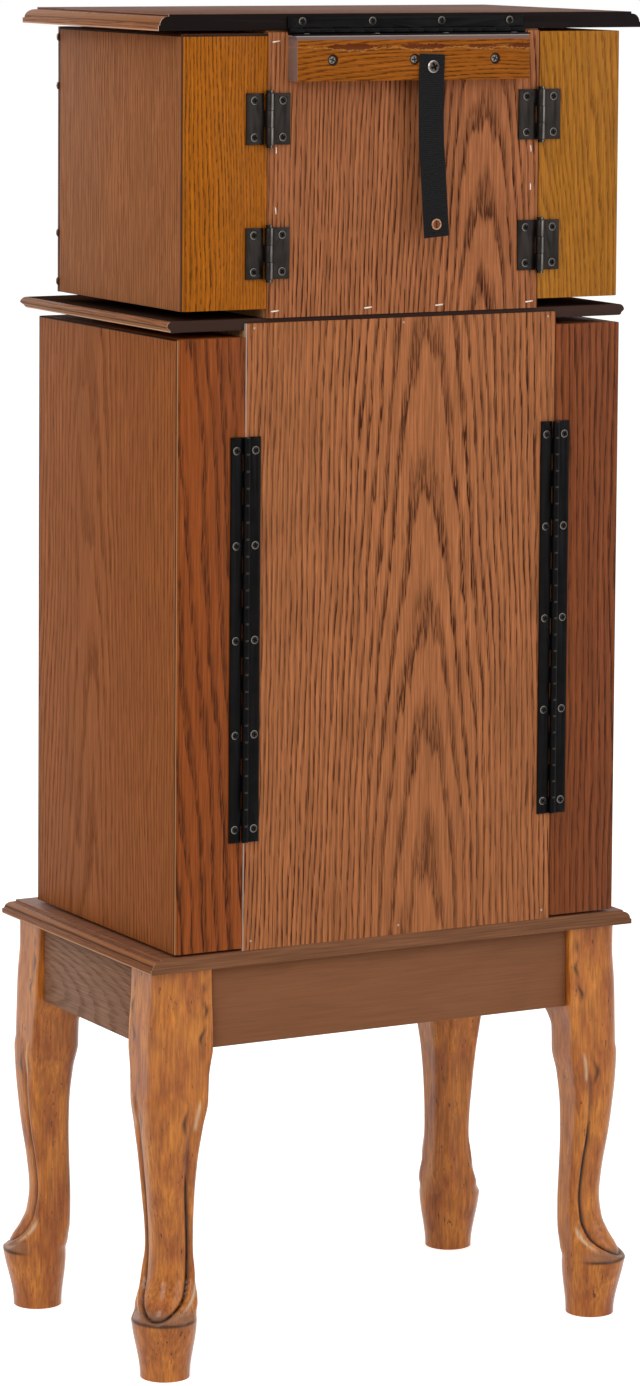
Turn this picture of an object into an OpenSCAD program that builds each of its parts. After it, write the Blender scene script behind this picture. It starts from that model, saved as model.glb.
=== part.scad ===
// Two-tier jewelry armoire on cabriole legs: lift-up lid over a divided tray, five drawers and
// four side doors with necklace hooks, each door hung on the back of the case.
// Millimetres. +Z is up, the drawer fronts face -Y, and the tip strap hangs on the +Y side.
// "Right" is the +X side. Floor level is z = 0.

/* [Heights] */
// Legs, from the floor to the underside of the base board
leg_h = 309; // [295:1:330]
// Lower case, between the base board and the waist board
lower_h = 463; // [440:1:500]
// Upper case, between the waist board and the lid
upper_h = 212; // [200:1:240]

/* [Flat boards] */
// Width of the base board
base_w = 418; // [410:1:440]
// Depth of the base board
base_d = 258; // [252:1:275]
// Thickness of the base board
base_t = 11.5; // [10:0.5:15]
// Width of the waist board
waist_w = 394; // [388:1:408]
// Depth of the waist board, from the back of the case forward
waist_d = 250; // [240:1:254]
// Thickness of the waist board
waist_t = 8.5; // [8:0.5:12]
// Width of the lid
lid_w = 413; // [400:1:430]
// Depth of the lid
lid_d = 229; // [220:1:245]
// Thickness of the lid
lid_t = 12; // [11.5:0.5:16]

/* [Case] */
// Width of the lower case between its side doors
lower_case_w = 267; // [250:1:275]
// Depth of the lower case, back panel included
lower_case_d = 232; // [220:1:240]
// Thickness of the lower case's side boards
lower_side_t = 12; // [11:0.5:16]
// Width of the upper case between its side doors
upper_case_w = 233; // [226:1:240]
// Depth of the upper case, back panel included
upper_case_d = 204; // [196:1:214]
// Thickness of the upper case's side boards
upper_side_t = 18; // [16:0.5:20]
// Thickness of the plywood back panels
back_t = 3; // [2.5:0.5:4]
// How far the lower back panel laps up the rear edge of the waist board
back_lap = 5; // [3:0.5:7]

/* [Side doors] */
// Width of a lower door's stiles, side panel included
lower_door_w = 57; // [50:1:60]
// Width of an upper door's stiles, side panel included
upper_door_w = 71; // [64:1:75]
// Thickness of the stiles
stile_t = 12; // [11:0.5:15]
// Thickness of the top and bottom rails
door_rail_t = 10; // [8:0.5:12]
// Thickness of the veneered side panels
side_panel_t = 3; // [2.5:0.5:5]
// Gap below a lower door
lower_gap_bottom = 2; // [1:0.5:4]
// Gap above a lower door
lower_gap_top = 5; // [3:0.5:8]
// Gap below an upper door
upper_gap_bottom = 7; // [3:0.5:8]
// Gap above an upper door
upper_gap_top = 2.5; // [2:0.5:6]
// Radius of the split turning on an upper door's front corner
column_r = 8; // [6:0.5:10]
// How far the rings of the split turning stand out
column_ring = 1.3; // [0.5:0.1:2]
// Necklace hooks in each door
hook_count = 6; // [4:1:7]

/* [Drawers] */
// Drawers in the upper case
upper_drawers = 2; // [2:1:2]
// Drawers in the lower case
lower_drawers = 3; // [3:1:3]
// Height of the rails between drawers
rail_h = 9; // [8:1:12]
// Depth of the rails between drawers
rail_d = 20; // [16:1:30]
// Width of the runners on the case sides
runner_w = 12; // [8:1:16]
// Thickness of the drawer fronts
front_t = 12; // [10:1:16]
// Thickness of the drawer sides
drawer_wall = 7; // [6:0.5:9]
// Thickness of the drawer bottoms
drawer_floor = 3; // [2.5:0.5:5]
// Diameter of the knobs
knob_d = 16; // [12:1:20]

/* [Lid tray] */
// Depth of the tray under the lid
tray_h = 56; // [45:1:65]
// Thickness of the tray's floor and front
tray_t = 8; // [6:0.5:10]
// Thickness of the tray's dividers
divider_t = 4; // [3:0.5:6]
// Diameter of a padded ring roll
roll_d = 18; // [16:1:20]
// Ring rolls
roll_count = 6; // [4:1:7]
// Thickness of the lid's mirror
mirror_t = 3; // [2:0.5:4]

/* [Legs] */
// Side of the square post at the top of a leg
post_w = 45; // [42:1:48]
// Radius of the foot at its rim
foot_rim_r = 24.4; // [23:0.2:26]
// Radius of the foot on the floor
foot_base_r = 18.5; // [16:0.5:22]
// Height of the foot's rim
foot_h = 44; // [40:1:47]
// Height of the aprons
apron_h = 61.5; // [56:0.5:66]
// Thickness of the aprons
apron_t = 15; // [12:1:18]
// How far the aprons stand behind the face of the posts
apron_setback = 4; // [2:0.5:6]

/* [Hinges] */
// Height of a butt hinge
butt_h = 38; // [34:1:44]
// Width of a butt hinge's leaf, from the pin's axis
butt_leaf = 18.2; // [17.6:0.2:19]
// Radius of a butt hinge's barrel
butt_r = 3.5; // [3:0.1:4]
// Knuckle pitch of the piano hinges
piano_pitch = 12.6; // [12:0.1:13]
// Knuckles of a lower door's piano hinge
door_knuckles = 24; // [20:2:26]
// Knuckles of the lid's piano hinge
lid_knuckles = 16; // [14:2:16]
// Width of a door's piano hinge leaf, from the pin's axis
piano_leaf = 12.4; // [12:0.2:14]
// Width of the lid's piano hinge leaf, from the pin's axis
lid_leaf = 11.2; // [10.6:0.2:11.6]
// Radius of a piano hinge's barrel
piano_r = 2.6; // [2.4:0.1:2.8]
// Thickness of all hinge leaves
leaf_t = 1.2; // [1:0.1:1.4]
// Radius of a butt hinge's pin
butt_pin_r = 1.8; // [1.5:0.1:2]
// Radius of a piano hinge's pin
piano_pin_r = 1.2; // [1:0.1:1.4]

/* [Hinge block and tip strap] */
// Length of the oak block that carries the lid's hinge
block_w = 199; // [190:1:204]
// Height of the block
block_h = 33.5; // [30:0.5:36]
// Thickness of the block
block_t = 13.5; // [13:0.5:16]
// Width of the strap
strap_w = 21.5; // [18:0.5:26]
// Length of the strap
strap_len = 136; // [110:1:160]
// Thickness of the webbing
strap_t = 1.5; // [1.2:0.1:2]
// Inner radius of the eyelet
eyelet_r = 2.75; // [2.5:0.05:3]
// Outer radius of the eyelet's flange
eyelet_flange_r = 4.6; // [4.4:0.1:5.5]

/* [Fasteners] */
// Radius of a hinge screw's head
screw_head_r = 3; // [2.6:0.1:3.2]
// Radius of a hinge screw's shank
screw_r = 1.4; // [1.2:0.1:1.6]
// Length of a hinge screw's shank
screw_len = 9; // [7:0.5:10]
// Radius of the strap's pan-head screw
strap_head_r = 4.7; // [4.2:0.1:5.2]
// Height of the strap's pan-head screw
strap_head_h = 3; // [2.4:0.1:3.4]
// Height of a hinge screw's head
screw_head_h = 1.3; // [1:0.1:1.6]

/* [Hidden] */
$fn = 48;

// Clearances
seam = 0.4;            // between a door and the case
seat = 0.3;            // under a drawer, and between parts that slide
butt_from = [22, 43.5];   // from an upper door's lower and upper end to its hinges
knuckle_gap = 0.3;     // between neighbouring knuckles
pin_clear = 0.06;      // around a hinge pin, on the radius
barrel_clear = 0.1;    // between a hinge barrel and the wood behind it
shank_clear = 0.1;     // around a screw's shank, on the radius
front_gap = 1.2;       // around a drawer front
lid_clear = 0.4;       // between the closed lid and the case
head_seat = 0.05;      // under a hinge screw's head
joint_line = 0.1;      // between a rail and the runners behind it

// Levels
base_z = leg_h;
lower_z = base_z + base_t;
waist_z = lower_z + lower_h;
upper_z = waist_z + waist_t;
lid_z = upper_z + upper_h;
total_h = lid_z + lid_t;

// Depth. The case's rear plane is the rear face of the back panels and of the doors.
rear_y = base_d / 2;
panel_y = rear_y - back_t;
lower_front_y = rear_y - lower_case_d;
upper_front_y = rear_y - upper_case_d;
waist_front_y = panel_y - waist_d;
lid_front_y = rear_y - lid_d;
block_y = rear_y + block_t;

// Legs
post = post_w / 2;
post_x = base_w / 2 - 8.5 - post;
post_y = base_d / 2 - 5.5 - post;
rim_centre = 10.5;     // from the post's centre out to the foot's, at the rim
base_centre = 8.6;     // and on the floor
rim_out = rim_centre + foot_rim_r;
apron_z = base_z - apron_h;

// The origin is the bottom centre of the whole armoire, strap screw included.
rear_reach = block_y + strap_t + strap_head_h;
front_reach = post_y + rim_out;
case_shift = (front_reach - rear_reach) / 2;

// Doors: bottom, height, width, depth, front plane, half width of the case beside them
UPPER = [upper_z + upper_gap_bottom, upper_h - upper_gap_bottom - upper_gap_top, upper_door_w,
         upper_case_d, upper_front_y, upper_case_w / 2];
LOWER = [lower_z + lower_gap_bottom, lower_h - lower_gap_bottom - lower_gap_top, lower_door_w,
         lower_case_d, lower_front_y, lower_case_w / 2];
hook_bar = [8, 14];    // thickness and height of the bar that holds the hooks
hook_drop = 22;        // from a door's top rail down to the hook bar
hook_reach = 18;
hook_r = 1.1;
hook_bend = 3;         // radius of a hook's bend
hook_tip = 3;          // length of its upturned end

// Hinges
butt_axis_y = rear_y + butt_r + barrel_clear;
piano_axis_y = rear_y + piano_r + barrel_clear;
butt_z = [UPPER[0] + butt_from[0], UPPER[0] + UPPER[1] - butt_from[1] - butt_h];
butt_screw_x = 11.8;
butt_screw_z = 5.5;
pin_tip = 2.2;
piano_h = piano_pitch * door_knuckles;
piano_z = LOWER[0] + 80;
piano_screw_x = 7.9;
piano_screws = 5;
piano_screw_z = 10;
lid_hinge_w = piano_pitch * lid_knuckles;
block_top = lid_z - 4;
lid_axis = [rear_y + piano_r + barrel_clear, block_top + piano_r + barrel_clear];
lid_screw_up = 7.6;
lid_screws = 4;
lid_screw_in = 12;

// Hinge block and strap
block_z = block_top - block_h;
block_chamfer = [2, 3.2];
block_screw_x = 69.5;
block_screw_up = 15.5;
bore_r = 3.6;
bore_depth = 4;
strap_x = -14.6;
strap_drift = 5;
strap_top = block_top - 14.5;
strap_screw_drop = 9;
eyelet_rise = 9.3;
eyelet_barrel = 3.5;
eyelet_lip = 0.6;
strap_screw_r = 2;
bore_head_h = 1.8;     // height of a screw's head in the block
leaf_head = [2.4, 0.6];   // radius and height of a screw's head under the lid
panel_drop = 1.7;      // from the lid down to the top of the upper back panel
block_leaf_screw = 5.4;   // from the lid hinge's axis back to the screws in the block

// Staples and brads
staple_in = 7;         // from a panel's long edge in to the middle of a staple
staple_up = 4.5;
brad_in = 7;
brad_r = 1.1;
brad_head = 0.4;

// Drawers: bottom of the opening, its height, half its width, depth of the case, front plane
function bay(z, h, n, i, half, depth, front) =
    let (tall = (h - (n - 1) * rail_h) / n) [z + i * (tall + rail_h), tall, half, depth, front];
tray_z = lid_z - lid_clear - tray_h - tray_t;
BAYS = concat(
    [for (i = [0:lower_drawers - 1]) bay(lower_z, lower_h, lower_drawers, i,
        lower_case_w / 2 - lower_side_t, lower_case_d, lower_front_y)],
    [for (i = [0:upper_drawers - 1]) bay(upper_z, tray_z - upper_z, upper_drawers, i,
        upper_case_w / 2 - upper_side_t, upper_case_d, upper_front_y)]);
drawer_stop = 12;      // free depth behind a closed drawer
drawer_room = 12;      // free height above a drawer's sides
floor_rise = 2;        // from the lower edge of a drawer's sides up to its bottom
knob_x = 0.52;         // share of the half width at which a knob stands

SIDES = [["right", 1], ["left", -1]];
DOOR_PIECES = ["frame", "side_panel", "hooks", "hinge_leaf"];

// ---------------------------------------------------------------- helpers

function arc(centre, radius, from, to, steps = 6) =
    [for (i = [0:steps]) let (a = from + (to - from) * i / steps)
        centre + radius * [cos(a), sin(a)]];

module at_case() {
    translate([0, case_shift, 0]) children();
}

// Shows the right-hand piece, or its mirror image on the left.
module on_side(s) {
    mirror([s < 0 ? 1 : 0, 0, 0]) children();
}

// A box given by its low and high corners.
module block_between(low, high) {
    translate(low) cube(high - low);
}

// Lip, ovolo and top fillet of a moulded edge, from the bottom up, as [inward, height].
function moulding(t, lip, fillet, r) = concat(
    [[0, 0], [0, lip]],
    [for (p = arc([fillet + r, lip], r, 180, 90)) p],
    [[fillet + r + fillet, lip + r], [fillet + r + fillet, t]]);

// A rounded edge, fuller at the top: a small round below and one of radius r above.
nose_r = 2;
function nosing(t, r) = concat(
    arc([r, nose_r], nose_r, 270, 180, 3), arc([r, t - r], r, 180, 90));

// A flat board whose two ends and front edge are moulded and whose rear edge is square.
module edged_board(w, front, rear, t, edge) {
    intersection() {
        translate([0, rear, 0]) rotate([90, 0, 0]) linear_extrude(rear - front)
            polygon(concat([for (p = edge) [w / 2 - p[0], p[1]]],
                           [for (i = [len(edge) - 1:-1:0]) [edge[i][0] - w / 2, edge[i][1]]]));
        translate([-w / 2, 0, 0]) rotate([90, 0, 90]) linear_extrude(w)
            polygon(concat([[rear, 0], [rear, t]],
                           [for (i = [len(edge) - 1:-1:0]) [front + edge[i][0], edge[i][1]]]));
    }
}

// ---------------------------------------------------------------- legs

// Sections of a leg from the floor up. Reaches are measured from the post's centre towards the
// outside and the inside of the case, alike in x and y. [height, outer reach, inner reach,
// spine radius, side edge radius, inside radius, depth of the groove beside the spine]
LEG = [
    [0, base_centre + foot_base_r, base_centre - foot_base_r, foot_base_r, foot_base_r,
        foot_base_r, 0],
    [foot_h - 3, rim_out - 0.4, rim_centre - foot_rim_r, foot_rim_r, foot_rim_r, foot_rim_r, 0],
    [foot_h, rim_out, rim_centre - foot_rim_r, foot_rim_r, foot_rim_r, foot_rim_r, 0],
    [foot_h + 6, 30, -13.9, 20, 18, 20, 0.5],
    [foot_h + 12, 26, -13.7, 16, 10, 17, 1.2],
    [foot_h + 20, 22.2, -13.3, 14, 6, 13, 1.6],
    [foot_h + 32, 18.6, -12.8, 13, 5.5, 11, 1.6],
    [foot_h + 50, 17.2, -12.1, 13, 6, 10, 1.6],
    [foot_h + 72, 18.9, -10.8, 13, 6, 10, 1.6],
    [apron_z - 108, 21.3, -9.8, 13, 6, 10, 1.6],
    [apron_z - 86, 23.1, -10.9, 13, 5.5, 11, 1.6],
    [apron_z - 58, 24.4, -15.3, 13, 4.5, 16, 1.6],
    [apron_z - 38, 25.2, -19.5, 13, 4, 19, 1.4],
    [apron_z - 22, 25, -19.5, 13, 2.5, 18, 0],
    [apron_z - 12, 25.2, -20.5, 13, 2, 12, 0],
    [apron_z, 25.2, -post, 13, 1.5, 2, 0],
    [apron_z + 16, 24.8, -post, 13, 1.5, 1.5, 0],
    [apron_z + 40, 23, -post, 12, 1.5, 1.5, 0],
    [base_z, post, -post, 11, 1.5, 1.5, 0]];
LEG_STEPS = 2;         // rings between two stations

// Slope of column c between stations i and i + 1, and the slope carried through station i.
function rise(i, c) = (LEG[i + 1][c] - LEG[i][c]) / (LEG[i + 1][0] - LEG[i][0]);
function through(i, c) = (i == 0 || i == len(LEG) - 1) ? 0 :
    let (a = rise(i - 1, c), b = rise(i, c)) a * b <= 0 ? 0 : 2 * a * b / (a + b);
function eased(i, c, t) =
    let (h = LEG[i + 1][0] - LEG[i][0], a = LEG[i][c], b = LEG[i + 1][c])
    (1 + 2 * t) * pow(1 - t, 2) * a + t * pow(1 - t, 2) * h * through(i, c)
    + t * t * (3 - 2 * t) * b + t * t * (t - 1) * h * through(i + 1, c);
function leg_section(i, t) =
    concat([LEG[i][0] + t * (LEG[i + 1][0] - LEG[i][0])], [for (c = [1:6]) eased(i, c, t)]);
LEG_RINGS = concat(
    [for (i = [0:len(LEG) - 2]) for (j = [0:LEG_STEPS - 1]) leg_section(i, j / LEG_STEPS)],
    [LEG[len(LEG) - 1]]);

// One ring: a square with four radii, and a groove with a thin ear ridge on both outer faces.
function ring(s) =
    let (o = s[1], i = s[2], most = 0.49 * (o - i), spine = min(s[3], most),
         edge = min(s[4], most), inside = min(s[5], most), cut = s[6],
         from = i + edge, span = o - spine - from)
    [for (p = concat(
        arc([o - edge, i + edge], edge, -90, 0, 4),
        [[o, from + 0.14 * span], [o - cut, from + 0.32 * span], [o, from + 0.55 * span]],
        arc([o - spine, o - spine], spine, 0, 90, 8),
        [[from + 0.55 * span, o], [from + 0.32 * span, o - cut], [from + 0.14 * span, o]],
        arc([i + edge, o - edge], edge, 90, 180, 4),
        arc([i + inside, i + inside], inside, 180, 270, 5))) [p[0], p[1], s[0]]];

module leg(front, s) {
    points = [for (r = LEG_RINGS) for (p = ring(r)) p];
    n = len(ring(LEG_RINGS[0]));
    top = n * (len(LEG_RINGS) - 1);
    faces = concat(
        [[for (k = [0:n - 1]) k]],
        [for (r = [0:len(LEG_RINGS) - 2]) for (k = [0:n - 1]) let (a = r * n + k,
            b = r * n + (k + 1) % n) each [[a, a + n, b], [b, a + n, b + n]]],
        [[for (k = [n - 1:-1:0]) top + k]]);
    color("peru") translate([s * post_x, front ? -post_y : post_y, 0])
        mirror([s < 0 ? 1 : 0, 0, 0]) mirror([0, front ? 1 : 0, 0])
            polyhedron(points, faces, convexity = 8);
}

module long_aprons() {
    x = post_x - post;
    y = post_y + post - apron_setback;
    color("sienna") for (s = [1, -1]) translate([-x, s > 0 ? y - apron_t : -y, apron_z])
        cube([2 * x, apron_t, apron_h]);
}

module short_aprons() {
    y = post_y - post;
    x = post_x + post - apron_setback;
    color("sienna") for (s = [1, -1]) translate([s > 0 ? x - apron_t : -x, -y, apron_z])
        cube([apron_t, 2 * y, apron_h]);
}

// ---------------------------------------------------------------- case

module base_board() {
    color("saddlebrown") translate([0, 0, base_z])
        edged_board(base_w, -base_d / 2, rear_y, base_t, moulding(base_t, 4, 1.2, 5.6));
}

module waist_board() {
    color("saddlebrown") translate([0, 0, waist_z])
        edged_board(waist_w, waist_front_y, panel_y, waist_t, nosing(waist_t, 4.5));
}

// Holes for the hinge screws, along Y, entering the wood at its rear face.
module screw_holes_y(places, from, depth) {
    for (p = places) translate([p[0], from + 1, p[1]]) rotate([90, 0, 0])
        cylinder(r = screw_r + shank_clear, h = depth + 1);
}

function butt_screws(side) = [for (z = butt_z) for (u = [butt_screw_z, butt_h - butt_screw_z])
    [UPPER[5] + side * butt_screw_x, z + u]];
function piano_screw_heights() = [for (i = [0:piano_screws - 1])
    piano_z + piano_screw_z + i * (piano_h - 2 * piano_screw_z) / (piano_screws - 1)];
function piano_screws_at(side) = [for (z = piano_screw_heights())
    [LOWER[5] + side * piano_screw_x, z]];
function block_screws() = [for (x = [-block_screw_x, 0, block_screw_x])
    [x, block_z + block_screw_up]];
function lid_screw_xs() = [for (i = [0:lid_screws - 1])
    (lid_hinge_w - 2 * lid_screw_in) * (i / (lid_screws - 1) - 0.5)];

screw_depth = screw_len - leaf_t + 0.4;

module lower_back_panel() {
    color("chocolate") difference() {
        block_between([-LOWER[5], panel_y, lower_z], [LOWER[5], rear_y, waist_z + back_lap]);
        for (s = [1, -1]) on_side(s) screw_holes_y(piano_screws_at(-1), rear_y, back_t + 1);
    }
}

module upper_back_panel() {
    color("chocolate") difference() {
        block_between([-UPPER[5], panel_y, upper_z], [UPPER[5], rear_y, lid_z - panel_drop]);
        for (s = [1, -1]) on_side(s) screw_holes_y(butt_screws(-1), rear_y, back_t + 1);
        screw_holes_y(block_screws(), rear_y, back_t + 1);
        translate([strap_x, rear_y + 1, strap_top - strap_screw_drop]) rotate([90, 0, 0])
            cylinder(r = strap_screw_r + shank_clear, h = back_t + 2);
    }
}

module case_sides(s) {
    color("burlywood") on_side(s) {
        difference() {
            block_between([LOWER[5] - lower_side_t, lower_front_y, lower_z],
                          [LOWER[5], panel_y, waist_z]);
            screw_holes_y(piano_screws_at(-1), panel_y, screw_depth - back_t);
        }
        difference() {
            block_between([UPPER[5] - upper_side_t, upper_front_y, upper_z],
                          [UPPER[5], panel_y, lid_z - lid_clear]);
            screw_holes_y(butt_screws(-1), panel_y, screw_depth - back_t);
        }
    }
}

// Between two drawers: a front rail and a runner along each side of the case.
module drawer_rails() {
    color("burlywood") for (i = [0:len(BAYS) - 1]) if (i != 0 && i != lower_drawers) {
        b = BAYS[i];
        z = b[0] - rail_h;
        block_between([-b[2], b[4], z], [b[2], b[4] + rail_d, b[0]]);
        for (s = [1, -1]) on_side(s)
            block_between([b[2] - runner_w, b[4] + rail_d + joint_line, z],
                          [b[2], panel_y, b[0]]);
    }
}

tray = [UPPER[5] - upper_side_t, upper_front_y, tray_z];
tray_split = 0;        // x of the long divider
tray_headroom = 5;     // between the dividers and the lid's mirror
mirror_margin = 9;     // from the tray's opening in to the mirror

module lid_tray() {
    back = panel_y;
    top = lid_z - lid_clear;
    cross = [for (i = [1:2]) tray[1] + tray_t + (back - tray[1] - tray_t) * i / 3];
    color("burlywood") {
        block_between([-tray[0], tray[1], tray[2]], [tray[0], back, tray[2] + tray_t]);
        block_between([-tray[0], tray[1], tray[2] + tray_t], [tray[0], tray[1] + tray_t, top]);
        block_between([tray_split - divider_t / 2, tray[1] + tray_t, tray[2] + tray_t],
                      [tray_split + divider_t / 2, back, top - mirror_t - tray_headroom]);
        for (y = cross) block_between([tray_split + divider_t / 2, y - divider_t / 2,
            tray[2] + tray_t], [tray[0], y + divider_t / 2, top - mirror_t - tray_headroom]);
    }
}

// Padded rolls side by side, each with a flat foot on the tray's floor.
module ring_rolls() {
    length = tray[0] + tray_split - divider_t / 2 - 2 * seat;
    r = roll_d / 2;
    first = tray[1] + tray_t + 1 + r;
    pitch = roll_d + seat;
    color("wheat") for (i = [0:roll_count - 1])
        translate([-tray[0] + seat, first + i * pitch, tray[2] + tray_t + seat + 0.7 * r])
            rotate([90, 0, 90]) intersection() {
                cylinder(r = r, h = length);
                translate([-r, -0.7 * r, 0]) cube([2 * r, 2 * r, length]);
            }
}

// ---------------------------------------------------------------- hinges and fasteners

// One leaf of a hinge. The pin's axis is Z, the leaf runs along +X and the wood is on the -Y
// side. The leaf owns every second knuckle, from number `first`; `pinned` leaves carry the pin.
module hinge_leaf(h, knuckles, first, width, r, pin_r, pinned, tip) {
    pitch = h / knuckles;
    y = -r - barrel_clear;
    own = [for (k = [first:2:knuckles - 1]) k * pitch + knuckle_gap / 2];
    difference() {
        union() {
            translate([r + knuckle_gap, y, 0]) cube([width - r - knuckle_gap, leaf_t, h]);
            for (z = own) translate([0, 0, z]) {
                cylinder(r = r, h = pitch - knuckle_gap);
                translate([0, y, 0]) cube([r + 2 * knuckle_gap, leaf_t, pitch - knuckle_gap]);
            }
        }
        if (!pinned) translate([0, 0, -1]) cylinder(r = pin_r + pin_clear, h = h + 2);
    }
    if (pinned) translate([0, 0, -tip]) cylinder(r = pin_r, h = h + 2 * tip);
    if (pinned && tip > 0) for (z = [-tip, h + knuckle_gap]) translate([0, 0, z])
        cylinder(r = 1.45 * pin_r, h = tip - knuckle_gap);
}

// Holes through a leaf that lies against the rear plane.
module leaf_holes(places) {
    for (p = places) translate([p[0], rear_y + leaf_t + 1, p[1]]) rotate([90, 0, 0])
        cylinder(r = screw_r + shank_clear, h = leaf_t + 2);
}

module butt_leaf(z, door) {
    difference() {
        translate([UPPER[5], butt_axis_y, z]) mirror([door ? 0 : 1, 0, 0])
            hinge_leaf(butt_h, 3, door ? 1 : 0, butt_leaf, butt_r, butt_pin_r, !door, pin_tip);
        leaf_holes(butt_screws(door ? 1 : -1));
    }
}

module piano_leaf_on(door) {
    difference() {
        translate([LOWER[5], piano_axis_y, piano_z]) mirror([door ? 0 : 1, 0, 0])
            hinge_leaf(piano_h, door_knuckles, door ? 1 : 0, piano_leaf, piano_r, piano_pin_r,
                       !door, 0);
        leaf_holes(piano_screws_at(door ? 1 : -1));
    }
}

// The lid hinge's lower leaf lies on the oak block, under the lid's rear edge.
module block_leaf() {
    difference() {
        translate([-lid_hinge_w / 2, lid_axis[0], lid_axis[1]]) rotate([90, 0, 90])
            hinge_leaf(lid_hinge_w, lid_knuckles, 0, lid_leaf - 2, piano_r, piano_pin_r, true, 0);
        for (x = lid_screw_xs()) translate([x, lid_axis[0] + block_leaf_screw, block_top - 1])
            cylinder(r = screw_r + shank_clear, h = leaf_t + 2);
    }
}

module fixed_hinge_leaves() {
    color("dimgray") {
        for (s = [1, -1]) on_side(s) {
            for (z = butt_z) butt_leaf(z, false);
            piano_leaf_on(false);
        }
        block_leaf();
    }
}

module hinge_block() {
    profile = [[rear_y, block_z], [block_y, block_z], [block_y, block_top - block_chamfer[1]],
               [block_y - block_chamfer[0], block_top], [rear_y, block_top]];
    color("goldenrod") difference() {
        translate([-block_w / 2, 0, 0]) rotate([90, 0, 90]) linear_extrude(block_w)
            polygon(profile);
        for (p = block_screws()) translate([p[0], block_y + 1, p[1]]) rotate([90, 0, 0]) {
            cylinder(r = bore_r, h = bore_depth + 1);
            cylinder(r = screw_r + shank_clear, h = block_t + 2);
        }
        translate([strap_x, block_y + 1, strap_top - strap_screw_drop]) rotate([90, 0, 0])
            cylinder(r = strap_screw_r + shank_clear, h = block_t + 2);
        for (x = lid_screw_xs()) translate([x, lid_axis[0] + block_leaf_screw, block_top - screw_depth])
            cylinder(r = screw_r + shank_clear, h = screw_depth + 1);
    }
}

// A screw with a domed head, driven along -Z from z = 0.
module screw(head_r, head_h, shank_r, length) {
    rotate_extrude() polygon(concat([[0, -length], [shank_r, -length + shank_r], [shank_r, 0],
        [head_r, 0], [head_r, 0.35 * head_h]],
        [for (p = arc([0, 0], 1, 0, 90, 5)) [head_r * p[0], head_h * (0.35 + 0.65 * p[1])]]));
}

module screws_on_rear(places, out) {
    for (p = places) translate([p[0], rear_y + out + head_seat, p[1]]) rotate([-90, 0, 0])
        screw(screw_head_r, screw_head_h, screw_r, screw_len);
}

module case_screws() {
    color("dimgray") {
        for (s = [1, -1]) on_side(s) {
            screws_on_rear(butt_screws(-1), leaf_t);
            screws_on_rear(piano_screws_at(-1), leaf_t);
        }
        for (p = block_screws()) translate([p[0], block_y - bore_depth, p[1]])
            rotate([-90, 0, 0])
                screw(screw_head_r, bore_head_h, screw_r, block_t - bore_depth + back_t);
        for (x = lid_screw_xs()) translate([x, lid_axis[0] + block_leaf_screw, block_top + leaf_t])
            screw(leaf_head[0], leaf_head[1], screw_r, screw_len);
    }
}

// Crowns of the staples round the upper panel, and heads of the brads in the lower panel. The
// upright staples stand between the two butt hinges of a door, clear of their leaves.
module panel_staples() {
    crown = [8, 0.6, 1.2];
    x = UPPER[5] - staple_in;
    low = butt_z[0] + butt_h + crown[0] / 2 + seat;
    high = butt_z[1] - crown[0] / 2 - seat;
    flat = [[-x, staple_up], [-0.28 * x, staple_up], [0.28 * x, staple_up], [x, staple_up],
            [x, upper_h - 2 * staple_up]];
    upright = [[-x, 0.95], [-x, 0.4], [x, 1], [x, 0.15]];
    brads = [for (z = [lower_z + brad_in, waist_z + back_lap - brad_in / 2]) for (side = [-1:1])
        [side * (LOWER[5] - brad_in), z]];
    color("silver") {
        for (p = flat) translate([p[0] - crown[0] / 2, rear_y, upper_z + p[1]]) cube(crown);
        for (p = upright) translate([p[0] - crown[2] / 2, rear_y,
            low + p[1] * (high - low) - crown[0] / 2]) cube([crown[2], crown[1], crown[0]]);
        for (p = brads) translate([p[0], rear_y, p[1]]) rotate([-90, 0, 0])
            cylinder(r = brad_r, h = brad_head);
    }
}

// ---------------------------------------------------------------- tip strap

// Centre line of the strap: it hangs from its screw and drifts aside towards its lower end.
function strap_at(t) = [strap_x - strap_drift * t * t, strap_top - strap_len * t];
eyelet_at = strap_at(1 - eyelet_rise / strap_len);

module tip_strap() {
    steps = 12;
    half = strap_w / 2;
    color("dimgray") difference() {
        translate([0, block_y + strap_t, 0]) rotate([90, 0, 0]) linear_extrude(strap_t)
            polygon(concat([for (i = [0:steps]) strap_at(i / steps) + [half, 0]],
                           [for (i = [steps:-1:0]) strap_at(i / steps) - [half, 0]]));
        translate([strap_x, block_y - 1, strap_top - strap_screw_drop]) rotate([-90, 0, 0])
            cylinder(r = strap_screw_r + shank_clear, h = strap_t + 2);
        translate([eyelet_at[0], block_y - 1, eyelet_at[1]]) rotate([-90, 0, 0])
            cylinder(r = eyelet_barrel + shank_clear, h = strap_t + 2);
    }
}

module strap_screw() {
    color("dimgray") translate([strap_x, block_y + strap_t, strap_top - strap_screw_drop])
        rotate([-90, 0, 0]) screw(strap_head_r, strap_head_h, strap_screw_r, block_t + strap_t + 1);
}

module strap_eyelet() {
    color("peru") translate([eyelet_at[0], block_y, eyelet_at[1]]) rotate([-90, 0, 0])
        difference() {
            union() {
                translate([0, 0, -eyelet_lip]) cylinder(r = eyelet_flange_r, h = eyelet_lip);
                cylinder(r = eyelet_barrel, h = strap_t);
                translate([0, 0, strap_t]) cylinder(r = eyelet_flange_r, h = eyelet_lip);
            }
            translate([0, 0, -eyelet_lip - 1])
                cylinder(r = eyelet_r, h = strap_t + 2 * eyelet_lip + 2);
        }
}

// ---------------------------------------------------------------- lid

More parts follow.
